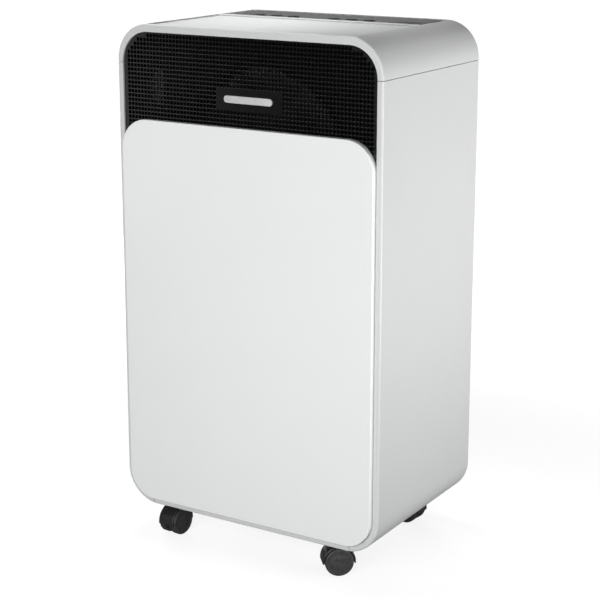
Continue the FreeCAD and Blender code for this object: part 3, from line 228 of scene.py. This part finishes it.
LOOKS = {
    "shell_white": moulded("shell_white", SHELL_WHITE, 0.34, grain=0.7, depth=0.012, mottle=0.015),
    "panel_white": moulded("panel_white", PANEL_WHITE, 0.22, grain=1.2, depth=0.006, mottle=0.01,
                           coat=0.15),
    "grille_black": moulded("grille_black", (0.002, 0.002, 0.0024), 0.22, grain=0.5, depth=0.01, mottle=0.2),
    "badge_silver": brushed("badge_silver", (0.92, 0.92, 0.92), 0.42, "x", depth=0.004),
    "strip_grey": moulded("strip_grey", (0.035, 0.036, 0.038), 0.26, grain=1.0, depth=0.001, mottle=0.06,
                          wave=0.003),
    "button_dark": moulded("button_dark", (0.014, 0.014, 0.015), 0.55, grain=0.6, depth=0.003, specular=0.1,
                           wave=0.0),
    "lens_dark": moulded("lens_dark", (0.008, 0.008, 0.010), 0.35, grain=3.0, depth=0.001, specular=0.25,
                         wave=0.002),
    "castor_black": moulded("castor_black", (0.014, 0.014, 0.015), 0.36, grain=0.5, depth=0.03, mottle=0.1),
    "wheel_black": rubber("wheel_black", (0.016, 0.016, 0.016)),
    "steel": brushed("steel", (0.56, 0.56, 0.57), 0.3, "z"),
    # Painted shade: the inner grey is darkened to near black, with little gloss, to stand in for the shade inside
    # the cabinet behind the front mesh.
    "inner_grey": moulded("inner_grey", (0.004, 0.004, 0.0045), 0.7, grain=0.9, depth=0.04, specular=0.05),
    "fan_grey": moulded("fan_grey", (0.012, 0.012, 0.013), 0.5, grain=0.6, depth=0.03, specular=0.15),
    "motor_steel": painted("motor_steel", (0.25, 0.26, 0.27), 0.4),
    "fin_aluminium": brushed("fin_aluminium", (0.36, 0.37, 0.38), 0.4, "z", lines=0.6),
    "compressor_black": painted("compressor_black", (0.018, 0.018, 0.02), 0.3),
    "foot_rubber": rubber("foot_rubber", (0.03, 0.03, 0.03)),
    "pipe_copper": copper("pipe_copper", (0.80, 0.42, 0.26)),
    "board_green": circuit("board_green", (0.012, 0.12, 0.05)),
    "capacitor_can": brushed("capacitor_can", (0.66, 0.67, 0.68), 0.3, "z"),
    "switch_black": moulded("switch_black", (0.03, 0.03, 0.03), 0.45),
    "bucket_grey": clouded("bucket_grey", (0.55, 0.58, 0.60), 0.35),
    "handle_grey": moulded("handle_grey", (0.22, 0.23, 0.24), 0.4, grain=0.8, depth=0.04),
    "float_white": foam("float_white", (0.82, 0.82, 0.78)),
    "filter_mesh": moulded("filter_mesh", (0.04, 0.04, 0.045), 0.5, grain=0.3, depth=0.02),
    "filter_frame": moulded("filter_frame", (0.09, 0.09, 0.1), 0.45, grain=0.6, depth=0.04),
    "screw_steel": brushed("screw_steel", (0.62, 0.62, 0.62), 0.28, "y", lines=0.4),
}


def dress_frame():
    """Every CAD node that stays gets its slot's material."""
    for part in frame["record"]["subparts"]:
        thing = NODES[part["node"]]
        thing.data.materials.clear()
        thing.data.materials.append(LOOKS[part["material_slot"]])


# ---------------------------------------------------------------- mesh helpers


def finish_piece(name, bm, body, slot, replaces=(), crease=35):
    """An object from the bmesh, smooth up to the crease angle, on its body and with its slot's look."""
    bmesh.ops.remove_doubles(bm, verts=bm.verts, dist=0.002 * MM)
    bmesh.ops.recalc_face_normals(bm, faces=bm.faces)
    for face in bm.faces:
        face.smooth = True
    mesh = bpy.data.meshes.new(name)
    bm.to_mesh(mesh)
    bm.free()
    mesh.set_sharp_from_angle(angle=math.radians(crease))
    mesh.materials.append(LOOKS[slot])
    piece = bpy.data.objects.new(name, mesh)
    bpy.context.scene.collection.objects.link(piece)
    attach(piece, body)
    if replaces:
        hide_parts(*replaces)
    return piece


def skin(bm, rings, closed):
    """Quads between each ring of vertices and the next."""
    for first, second in zip(rings, rings[1:]):
        count = len(first)
        for i in range(count if closed else count - 1):
            j = (i + 1) % count
            corners = (first[i], first[j], second[j], second[i])
            kept = list(dict.fromkeys(corners))
            if len(kept) > 2:
                bm.faces.new(kept)


def lathe(bm, profile, matrix, start=0.0, end=360.0, steps=48):
    """Turns the closed profile of (radius, height) points about the matrix's z axis."""
    whole = end - start >= 360
    count = steps if whole else steps + 1
    rings = []
    for i in range(count):
        angle = math.radians(start + (end - start) * i / steps)
        c, s = math.cos(angle), math.sin(angle)
        rings.append([bm.verts.new(matrix @ Vector((r * c, r * s, h))) for r, h in profile])
    if whole:
        rings.append(rings[0])
    skin(bm, rings, True)
    if not whole:
        bm.faces.new(rings[0])
        bm.faces.new(list(reversed(rings[-1])))


def solid_of_turn(bm, profile, matrix, steps=48, notch=None):
    """Turns an open profile that starts and ends on the axis.

    notch, where there is one, gives how far in a point lies, from its step and its place in the profile.
    """
    top = bm.verts.new(matrix @ Vector((0, 0, profile[0][1])))
    bottom = bm.verts.new(matrix @ Vector((0, 0, profile[-1][1])))
    rings = []
    for i in range(steps):
        angle = 2 * math.pi * i / steps
        ring = []
        for index, (radius, height) in enumerate(profile[1:-1]):
            if notch is not None:
                radius -= notch(i, index)
            point = Vector((radius * math.cos(angle), radius * math.sin(angle), height))
            ring.append(bm.verts.new(matrix @ point))
        rings.append(ring)
    rings.append(rings[0])
    skin(bm, rings, False)
    for first, second in zip(rings, rings[1:]):
        bm.faces.new((top, first[0], second[0]))
        bm.faces.new((bottom, second[-1], first[-1]))


def arc(centre, radius, start, end, steps):
    """Points on a circle's arc, angles in degrees."""
    turns = [math.radians(start + (end - start) * i / steps) for i in range(steps + 1)]
    return [(centre[0] + radius * math.cos(t), centre[1] + radius * math.sin(t)) for t in turns]


def axes(origin, x_axis, z_axis):
    """A frame at the origin from its x and z directions."""
    z = Vector(z_axis).normalized()
    x = Vector(x_axis).normalized()
    y = z.cross(x)
    turn = Matrix((x, y, z)).transposed().to_4x4()
    return Matrix.Translation(Vector(origin)) @ turn


# ---------------------------------------------------------------- front mesh

MESH_PITCH = (4.6 * MM, 5 * MM)
MESH_HOLE = (3.5 * MM, 3.8 * MM)
MESH_CHAMFER = 0.45 * MM
MESH_CORNER = 1.1 * MM
MESH_MARGIN = 1.0 * MM
MESH_TOP_GAP = 0.3 * MM
PATCH_BORDER = Vector((12 * MM, 0, 8 * MM))
MESH_ARC_X = 133 * MM
RETURN_WALL = 1.0 * MM
RETURN_START = 0.05 * MM
RETURN_END = -86 * MM
SEEN_BELOW_PANEL_TOP = 6 * MM
CORNER_STEPS = 14


def grille_outline(low, high, radius):
    """The mesh's outline in x and z: square at the bottom, rounded at the top."""
    right = arc((high.x - radius, high.z - radius), radius, 0, 90, CORNER_STEPS)
    left = arc((low.x + radius, high.z - radius), radius, 90, 180, CORNER_STEPS)
    return [(low.x, low.z), (high.x, low.z)] + right + left


def inside_outline(x, z, low, high, radius, margin):
    """Whether the point is inside the outline by the margin."""
    if not (low.x + margin < x < high.x - margin and low.z + margin < z < high.z - margin):
        return False
    beyond_x = abs(x) - (high.x - radius)
    beyond_z = z - (high.z - radius)
    if beyond_x > 0 and beyond_z > 0:
        return math.hypot(beyond_x, beyond_z) < radius - margin
    return True


def hole_cells(low, high, radius, patch, panel):
    """The cells of the lattice that are open, as the centres' (x, z)."""
    wide, tall = MESH_PITCH
    columns = int((high.x - low.x) / wide) + 1
    rows = int((high.z - low.z) / tall) + 1
    top_row = high.z - MESH_MARGIN - MESH_TOP_GAP - tall / 2
    cells = []
    for row in range(rows):
        z = top_row - row * tall
        for column in range(columns):
            x = (column - columns // 2) * wide
            corners = [(x + i * wide / 2, z + j * tall / 2) for i in (-1, 1) for j in (-1, 1)]
            if not all(inside_outline(*corner, low, high, radius, MESH_MARGIN) for corner in corners):
                continue
            if patch[0].x < x < patch[1].x and patch[0].z < z < patch[1].z:
                continue
            behind_panel = z < panel[1].z - SEEN_BELOW_PANEL_TOP
            if behind_panel and abs(x) < panel[1].x - radius - SEEN_BELOW_PANEL_TOP:
                continue
            cells.append((x, z))
    return cells


def cell_ring(x, z, size, tuck):
    """Twelve points round a hole's centre, with each corner's middle point drawn in by tuck."""
    half_x, half_z = size[0] / 2, size[1] / 2
    flat_x, flat_z = (side / 2 - MESH_CORNER for side in MESH_HOLE)
    corner = ((half_x, flat_z), (half_x - tuck, half_z - tuck), (flat_x, half_z))
    ring = []
    for side_x, side_z in ((1, 1), (-1, 1), (-1, -1), (1, -1)):
        ordered = corner if side_x == side_z else corner[::-1]
        ring += [(x + side_x * dx, z + side_z * dz) for dx, dz in ordered]
    return ring


def add_cell(bm, x, z, front, back):
    """One hole: its cell at the front, the chamfered rim, the walls, and the cell at the back."""
    rim = [side + 2 * MESH_CHAMFER for side in MESH_HOLE]
    tuck = MESH_CORNER * (1 - math.sqrt(0.5))
    levels = ((MESH_PITCH, 0, front), (rim, tuck, front), (MESH_HOLE, tuck, front + MESH_CHAMFER),
              (MESH_HOLE, tuck, back), (MESH_PITCH, 0, back))
    rings = [[bm.verts.new((px, y, pz)) for px, pz in cell_ring(x, z, size, cut)]
             for size, cut, y in levels]
    skin(bm, rings, True)


def add_plain_sheet(bm, cells, outline, y):
    """The sheet between the outline and the open cells, at depth y."""
    count = {}
    for x, z in cells:
        ring = cell_ring(x, z, MESH_PITCH, 0)
        keys = [tuple(round(value / MM, 2) for value in point) for point in ring]
        for first, second in zip(keys, keys[1:] + keys[:1]):
            edge = tuple(sorted((first, second)))
            count[edge] = count.get(edge, 0) + 1
    rim = [edge for edge, times in count.items() if times == 1]
    around = [tuple(value / MM for value in point) for point in outline]
    rim += list(zip(around, around[1:] + around[:1]))
    points = {}
    edges = []
    for first, second in rim:
        for point in (first, second):
            if point not in points:
                points[point] = bm.verts.new((point[0] * MM, y, point[1] * MM))
        edges.append(bm.edges.new((points[first], points[second])))
    bmesh.ops.triangle_fill(bm, use_beauty=True, use_dissolve=False, edges=edges)


def add_return_wall(bm, outline, start, end):
    """A thin wall that runs back from the sheet's edge."""
    middle_z = (min(z for x, z in outline) + max(z for x, z in outline)) / 2
    rings = []
    for inset, y in ((0, start), (0, end), (RETURN_WALL, end), (RETURN_WALL, start), (0, start)):
        ring = []
        for x, z in outline:
            inward = Vector((-x, middle_z - z)).normalized() * inset
            ring.append(bm.verts.new((x + inward.x, y, z + inward.y)))
        rings.append(ring)
    skin(bm, rings, True)


def make_front_mesh():
    """The whole lattice over the grille's outline, with its plain patch and its return wall."""
    low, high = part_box("front_grille")
    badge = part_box("badge_plate")
    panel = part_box("front_panel")
    radius = high.x - MESH_ARC_X
    patch = (badge[0] - PATCH_BORDER, badge[1] + PATCH_BORDER)
    cells = hole_cells(low, high, radius, patch, panel)
    outline = grille_outline(low, high, radius)
    bm = bmesh.new()
    for x, z in cells:
        add_cell(bm, x, z, low.y, high.y)
    add_plain_sheet(bm, cells, outline, low.y)
    add_plain_sheet(bm, cells, outline, high.y)
    rims = [[bm.verts.new((x, y, z)) for x, z in outline] for y in (low.y, high.y)]
    skin(bm, rims, True)
    add_return_wall(bm, outline, high.y + RETURN_START, RETURN_END)
    finish_piece("front_mesh", bm, "cabinet", "grille_black", ("front_grille",), crease=20)


# ---------------------------------------------------------------- castors

WHEEL_WIDTH = 9.6 * MM
WHEEL_GAP = 3.4 * MM
HOOD_HALF = 11.4 * MM
HOOD_CLEARANCE = 0.8 * MM
HOOD_SHELL = 1.7 * MM
HOOD_SOFT = 1.3 * MM
HOOD_SWEEP = (-6, 186)
WEB_INSET = 5.6 * MM
WEB_HALF = 2.9 * MM
WEB_SOFT = 0.6 * MM
NECK_DEPTH = 9 * MM
TREAD_SOFT = 2.2 * MM
GROOVE_DEPTH = 0.35 * MM


def wheel_profile(radius):
    """Half section of one wheel, from the inner face out: tread with a groove, dished face and cap."""
    wide = WHEEL_WIDTH
    inner = [(0, 0), (radius - 1.6 * MM, 0), (radius - 0.4 * MM, 0.4 * MM), (radius, 1.5 * MM)]
    floor = radius - GROOVE_DEPTH
    groove = [(radius, 3.2 * MM), (floor, 3.35 * MM), (floor, 3.85 * MM), (radius, 4.0 * MM)]
    shoulder = arc((radius - TREAD_SOFT, wide - TREAD_SOFT), TREAD_SOFT, 0, 90, 5)
    dish = [(radius - 3.4 * MM, wide), (radius - 3.8 * MM, wide - 0.5 * MM), (8.2 * MM, wide - 0.35 * MM)]
    cap = [(7.6 * MM, wide - 0.1 * MM), (6.2 * MM, wide), (0, wide + 0.25 * MM)]
    return inner + groove + shoulder + dish + cap


def make_wheel(corner, letter):
    """A wheel on its axle line: letter a on the axle's positive side, b on the other."""
    spin = JOINTS[f"castor_spin_{corner}_{letter}"]
    node = f"castor_wheel_{corner}_{letter}"
    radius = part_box(node)[1].z / 2
    outward = Vector(spin["axis"]) * (1 if letter == "a" else -1)
    base = axes(spin["pos_m"], (0, 0, 1), outward)
    bm = bmesh.new()
    solid_of_turn(bm, wheel_profile(radius), base @ Matrix.Translation((0, 0, WHEEL_GAP)), steps=64)
    body = f"wheel_{corner}_{letter}"
    finish_piece(body, bm, body, "wheel_black", (node,), crease=28)


def hood_section(radius):
    """The hood's section across the axle: a shell with turned-down rounded sides."""
    outer = radius + HOOD_CLEARANCE + HOOD_SHELL
    inner = radius + HOOD_CLEARANCE
    right = arc((outer - HOOD_SOFT, HOOD_HALF - HOOD_SOFT), HOOD_SOFT, 0, 90, 4)
    left = arc((outer - HOOD_SOFT, -HOOD_HALF + HOOD_SOFT), HOOD_SOFT, -90, 0, 4)
    return left + right + [(inner, HOOD_HALF), (inner, -HOOD_HALF)]


def web_profile(radius):
    """Half section of the round web between the wheels."""
    rim = arc((radius, WEB_HALF - WEB_SOFT), WEB_SOFT, 90, 0, 3)
    return [(0, WEB_HALF)] + rim + [(r, -h) for r, h in reversed(rim)] + [(0, -WEB_HALF)]


def neck_profile(wheel_top, top):
    """Half section of the neck that holds the stem, flared where it meets the hood."""
    foot = wheel_top - NECK_DEPTH
    flare = arc((10.5 * MM, wheel_top + 3.2 * MM), 2.5 * MM, 200, 180, 3)
    return [(0, foot), (8.4 * MM, foot)] + flare + [(8 * MM, top - 0.5 * MM), (7.5 * MM, top), (0, top)]


def make_hood(corner):
    """The curved guard over both wheels, the web between them and the stem's neck."""
    spin = JOINTS[f"castor_spin_{corner}_a"]
    swivel = JOINTS[f"castor_swivel_{corner}"]
    node = "castor_hood_" + corner
    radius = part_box(f"castor_wheel_{corner}_a")[1].z / 2
    axle = Vector(spin["axis"])
    behind = Vector((0, 0, 1)).cross(axle)
    turned = axes(spin["pos_m"], behind, axle)
    bm = bmesh.new()
    lathe(bm, hood_section(radius), turned, *HOOD_SWEEP, steps=56)
    solid_of_turn(bm, web_profile(radius - WEB_INSET), turned)
    stem = Vector((swivel["pos_m"][0], swivel["pos_m"][1], 0))
    neck = neck_profile(2 * radius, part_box(node)[1].z)
    solid_of_turn(bm, neck, Matrix.Translation(stem), steps=40)
    finish_piece("hood_" + corner, bm, "castor_" + corner, "castor_black", (node,), crease=40)


def make_castors():
    """The four hoods and their eight wheels."""
    for corner in CORNERS:
        make_hood(corner)
        for letter in "ab":
            make_wheel(corner, letter)


# ---------------------------------------------------------------- fan

FAN_BLADES = 5
FAN_HUB = 36 * MM
FAN_TIP_GAP = 1 * MM
HUB_WALL = 3 * MM
HUB_SOFT = 6 * MM
BOSS_RADIUS = 8 * MM
BORE_RADIUS = 4.1 * MM
BLADE_RINGS = 9
BLADE_STEPS = 10


def blade_point(radial, along, side, hub, tip, depth):
    """A point of a blade in the fan's frame: radial and along run from 0 to 1, side is -1 or 1."""
    radius = hub + (tip - hub) * radial
    half_angle = math.radians(33 - 6 * radial)
    sweep = math.radians(16) * radial ** 1.5
    angle = half_angle * (2 * along - 1) + sweep
    camber = 0.16 * depth * math.sin(math.pi * along)
    rise = (along - 0.5) * depth * (0.95 - 0.3 * radial) + camber
    thick = (0.9 + 1.3 * math.sin(math.pi * along)) * MM * (1 - 0.35 * radial)
    return Vector((radius * math.cos(angle), radius * math.sin(angle), rise + side * thick / 2))


def add_blade(bm, base, hub, tip, depth):
    """One twisted, swept blade, closed all round."""
    rings = []
    for i in range(BLADE_RINGS + 1):
        radial = i / BLADE_RINGS
        front = [blade_point(radial, j / BLADE_STEPS, 1, hub, tip, depth) for j in range(BLADE_STEPS + 1)]
        back = [blade_point(radial, j / BLADE_STEPS, -1, hub, tip, depth) for j in range(BLADE_STEPS + 1)]
        rings.append([bm.verts.new(base @ point) for point in front + back[::-1]])
    skin(bm, rings, True)
    bm.faces.new(rings[0])
    bm.faces.new(rings[-1][::-1])


def hub_profile(depth):
    """Half section of the hub: a cup with a raised nose, and the boss that grips the shaft."""
    front = depth / 2
    face = front - 1 * MM
    inside = face - 5 * MM
    nose = [(0, front), (10 * MM, front), (11 * MM, face), (28 * MM, face)]
    rim = arc((FAN_HUB - HUB_SOFT, face - HUB_SOFT), HUB_SOFT, 90, 0, 6)
    cup = [(FAN_HUB, -front), (FAN_HUB - HUB_WALL, -front), (FAN_HUB - HUB_WALL, inside)]
    boss = [(BOSS_RADIUS, inside), (BOSS_RADIUS, -front + 3 * MM), (BORE_RADIUS, -front + 3 * MM)]
    bore = [(BORE_RADIUS, inside - 3 * MM), (0, inside - 3 * MM)]
    return nose + rim + cup + boss + bore


def make_fan():
    """The axial fan wheel: five twisted blades on a hollow hub."""
    low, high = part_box("fan_wheel")
    spin = JOINTS["fan_spin"]
    centre = Vector((spin["pos_m"][0], (low.y + high.y) / 2, spin["pos_m"][2]))
    depth = high.y - low.y
    base = axes(centre, (1, 0, 0), (0, -1, 0))
    tip = (high.z - low.z) / 2 - FAN_TIP_GAP
    bm = bmesh.new()
    for number in range(FAN_BLADES):
        turn = Matrix.Rotation(2 * math.pi * number / FAN_BLADES, 4, "Z")
        add_blade(bm, base @ turn, FAN_HUB - 2 * MM, tip, depth * 0.9)
    solid_of_turn(bm, hub_profile(depth), base, steps=64)
    finish_piece("fan_rotor", bm, "fan", "fan_grey", ("fan_wheel",), crease=38)


# ---------------------------------------------------------------- filter net

NET_PITCH = 1.6 * MM
NET_STRAND = 0.3 * MM
NET_SIDES = 6
NET_WINDOWS = (3, 2)
FRAME_BAR = 4 * MM


def add_strand(bm, start, end, half):
    """A straight strand with a six-sided section."""
    start, end = Vector(start), Vector(end)
    along = (end - start).normalized()
    across = along.cross(Vector((0, 1, 0)))
    rings = []
    for point in (start, end):
        ring = []
        for i in range(NET_SIDES):
            angle = 2 * math.pi * i / NET_SIDES
            offset = across * (half * math.cos(angle)) + Vector((0, half * math.sin(angle), 0))
            ring.append(bm.verts.new(point + offset))
        rings.append(ring)
    skin(bm, rings, True)
    bm.faces.new(rings[0][::-1])
    bm.faces.new(rings[1])


def make_filter_net():
    """Crossed strands in each of the frame's six windows."""
    low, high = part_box("filter_mesh")
    columns, rows = NET_WINDOWS
    width = (high.x - low.x - (columns - 1) * FRAME_BAR) / columns
    height = (high.z - low.z - (rows - 1) * FRAME_BAR) / rows
    middle = (low.y + high.y) / 2
    half = NET_STRAND / 2
    bm = bmesh.new()
    for column in range(columns):
        for row in range(rows):
            x0 = low.x + column * (width + FRAME_BAR)
            z0 = low.z + row * (height + FRAME_BAR)
            for i in range(1, int(width / NET_PITCH)):
                x = x0 + i * NET_PITCH
                add_strand(bm, (x, middle - half, z0), (x, middle - half, z0 + height), half)
            for i in range(1, int(height / NET_PITCH)):
                z = z0 + i * NET_PITCH
                add_strand(bm, (x0, middle + half, z), (x0 + width, middle + half, z), half)
    finish_piece("filter_net", bm, "intake_cassette", "filter_mesh", ("filter_mesh",), crease=70)


# ---------------------------------------------------------------- small rear parts

CAP_HEAD = 3.6 * MM
CAP_DISH = 0.5 * MM
CAP_STEPS = 144
PLUG_RADIUS = 6 * MM
PLUG_SOFT = 0.8 * MM
KNURL_DEPTH = 0.45 * MM
KNURLED_POINTS = (3, 4)


def knurl(step, index):
    """How far in a point of the cap's rim lies: two steps in every four."""
    return KNURL_DEPTH if index in KNURLED_POINTS and step % 4 < 2 else 0


def make_drain_cap():
    """A round pull cap with a dished face and a knurled rim."""
    low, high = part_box("drain_cap")
    centre = (low + high) / 2
    base = axes((centre.x, high.y, centre.z), (1, 0, 0), (0, 1, 0))
    radius = (high.x - low.x) / 2
    plug = high.y - low.y
    dish = [(0, -CAP_DISH), (radius * 0.55, -CAP_DISH), (radius * 0.65, 0), (radius - 1.2 * MM, 0)]
    rim = [(radius - 0.1 * MM, -0.9 * MM), (radius - 0.1 * MM, -CAP_HEAD + 0.3 * MM)]
    back = [(radius - 0.4 * MM, -CAP_HEAD), (PLUG_RADIUS, -CAP_HEAD)]
    stub = [(PLUG_RADIUS, -plug + PLUG_SOFT), (PLUG_RADIUS - PLUG_SOFT, -plug), (0, -plug)]
    bm = bmesh.new()
    solid_of_turn(bm, dish + rim + back + stub, base, steps=CAP_STEPS, notch=knurl)
    finish_piece("drain_plug", bm, "drain_cap", "handle_grey", ("drain_cap",), crease=30)


SCREW_HEAD = 3.2 * MM
SCREW_HEIGHT = 1.8 * MM
SCREW_SHANK = 1.5 * MM
SCREW_POINT = 2 * MM
SCREW_RECESS = 1.1 * MM
MIDDLE_SCREW_Z = 286 * MM


def cross_head(bm, base):
    """A domed screw head with a cross recess, built as rings of twelve points round the cross."""
    arm, wide = 0.62 * SCREW_HEAD, 0.17 * SCREW_HEAD
    cross = []
    for quarter in range(4):
        turn = Matrix.Rotation(quarter * math.pi / 2, 2)
        cross += [turn @ Vector(point) for point in ((arm, -wide), (arm, wide), (wide, wide))]
    rim = [point.normalized() * SCREW_HEAD for point in cross]
    levels = ((cross, 0.75, SCREW_HEIGHT - SCREW_RECESS), (cross, 1, SCREW_HEIGHT),
              (rim, 0.82, SCREW_HEIGHT * 0.92), (rim, 1, SCREW_HEIGHT * 0.45), (rim, 1, 0))
    rings = []
    for outline, scale, height in levels:
        points = [Vector((scale * point.x, scale * point.y, height)) for point in outline]
        rings.append([bm.verts.new(base @ point) for point in points])
    skin(bm, rings, True)
    bm.faces.new(rings[0])
    bm.faces.new(rings[-1][::-1])


def make_screws():
    """The six rear screws: shank and cross-recessed head."""
    low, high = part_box("rear_screws")
    columns = (low.x + SCREW_HEAD, high.x - SCREW_HEAD)
    rows = (low.z + SCREW_HEAD, MIDDLE_SCREW_Z, high.z - SCREW_HEAD)
    length = high.y - low.y - SCREW_HEIGHT
    shank = [(0, 0.2 * MM), (SCREW_SHANK, 0.2 * MM), (SCREW_SHANK, SCREW_POINT - length), (0, -length)]
    bm = bmesh.new()
    for x in columns:
        for z in rows:
            base = axes((x, high.y - SCREW_HEIGHT, z), (1, 0, 0), (0, 1, 0))
            cross_head(bm, base)
            solid_of_turn(bm, shank, base, steps=20)
    finish_piece("screw_set", bm, "cabinet", "screw_steel", ("rear_screws",), crease=30)


# ---------------------------------------------------------------- studio

AZIMUTH = 31.66
ELEVATION = 13.85
DISTANCE = 1.9187
AIM = Vector((-0.0022, 0.0051, 0.3342))
LENS = 95.78
SENSOR = 36
SHIFT = -0.06
FLOOR_RADIUS = 20
FLOOR_WHITE = (0.30, 0.30, 0.30)
FLOOR_FADE = (0.35, 1.1)
FLOOR_GLOW = (0.82, 1.04)
FLOOR_BOUNCE = 0.03
AMBIENT = 0.06


def make_camera():
    """A long lens at the photo's angle, with the small vertical shift that its framing needs."""
    data = bpy.data.cameras.new("camera")
    camera = bpy.data.objects.new("camera", data)
    bpy.context.scene.collection.objects.link(camera)
    a, e = math.radians(AZIMUTH), math.radians(ELEVATION)
    back = Vector((math.sin(a) * math.cos(e), -math.cos(a) * math.cos(e), math.sin(e)))
    camera.location = AIM + back * DISTANCE
    camera.rotation_mode = "QUATERNION"
    camera.rotation_quaternion = back.to_track_quat("Z", "Y")
    data.lens = LENS
    data.sensor_width = SENSOR
    data.shift_y = SHIFT
    bpy.context.scene.camera = camera


def make_floor():
    """A wide pale floor that fades into the white surroundings. It hardly glows except to the camera."""
    material, tree, shader = new_look("floor_pale")
    point = place(tree)
    slow = noise(tree, point, 400, detail=3)
    tree.links.new(tinted(tree, slow, FLOOR_WHITE, 0.01), shader.inputs["Base Color"])
    shader.inputs["Roughness"].default_value = 0.9
    shader.inputs["Specular IOR Level"].default_value = 0.1
    away = add(tree, "VectorMath", {"operation": "LENGTH"}, Vector=point).outputs["Value"]
    glow = add(tree, "MapRange", {"interpolation_type": "SMOOTHSTEP"}, Value=away,
               From_Min=FLOOR_FADE[0], From_Max=FLOOR_FADE[1], To_Min=FLOOR_GLOW[0], To_Max=FLOOR_GLOW[1])
    seen = add(tree, "LightPath").outputs["Is Camera Ray"]
    emitted = add(tree, "MapRange", Value=seen, To_Min=FLOOR_BOUNCE, To_Max=glow.outputs["Result"])
    tree.links.new(emitted.outputs["Result"], shader.inputs["Emission Strength"])
    shader.inputs["Emission Color"].default_value = (1, 1, 1, 1)
    bm = bmesh.new()
    bmesh.ops.create_circle(bm, cap_ends=True, radius=FLOOR_RADIUS, segments=96)
    mesh = bpy.data.meshes.new("floor")
    bm.to_mesh(mesh)
    bm.free()
    mesh.materials.append(material)
    floor = bpy.data.objects.new("floor", mesh)
    bpy.context.scene.collection.objects.link(floor)


def soft_light(name, location, aim, size, power, spread=180):
    """A rectangular area light turned towards a point, not itself in view."""
    data = bpy.data.lights.new(name, "AREA")
    data.shape = "RECTANGLE"
    data.size, data.size_y = size
    data.energy = power
    data.spread = math.radians(spread)
    light = bpy.data.objects.new(name, data)
    bpy.context.scene.collection.objects.link(light)
    light.location = location
    away = Vector(location) - Vector(aim)
    light.rotation_mode = "QUATERNION"
    light.rotation_quaternion = away.to_track_quat("Z", "Y")
    light.visible_camera = False


def make_studio():
    """Surroundings that are white to the camera and dim as a light, and soft lights all round."""
    scene = bpy.context.scene
    world = bpy.data.worlds.new("studio")
    world.use_nodes = True
    tree = world.node_tree
    seen = add(tree, "LightPath").outputs["Is Camera Ray"]
    strength = add(tree, "MapRange", Value=seen, To_Min=AMBIENT, To_Max=1.0).outputs["Result"]
    background = tree.nodes["Background"]
    background.inputs["Color"].default_value = (1, 1, 1, 1)
    tree.links.new(strength, background.inputs["Strength"])
    scene.world = world
    scene.view_settings.view_transform = "Standard"
    soft_light("front", (0.28, -1.4, 0.52), (0.02, 0, 0.38), (1.2, 0.95), 17.6)
    soft_light("rear", (-1.25, 1.1, 0.35), (0, 0.05, 0.3), (1.0, 0.6), 13)
    soft_light("side", (0.92, 0.14, 0.26), (0.17, 0.08, 0.8), (0.8, 0.5), 6.8, spread=150)
    soft_light("above", (-0.17, 0.08, 1.2), (-0.06, 0, 0.62), (0.3, 0.3), 0.6, spread=46)
    soft_light("sheen", (-1.1, -0.4, 1.75), (-0.1, -0.1, 0.55), (0.6, 0.4), 2.2)
    soft_light("low", (-0.96, -1.0, 0.35), (-0.1, -0.1, 0.5), (0.4, 0.4), 0.45)
    soft_light("backdrop", (-1.33, 2.15, 1.24), (0, 0, 0.62), (2.2, 1.4), 3)


dress_frame()
make_front_mesh()
make_castors()
make_fan()
make_filter_net()
make_drain_cap()
make_screws()
make_floor()
make_studio()
make_camera()
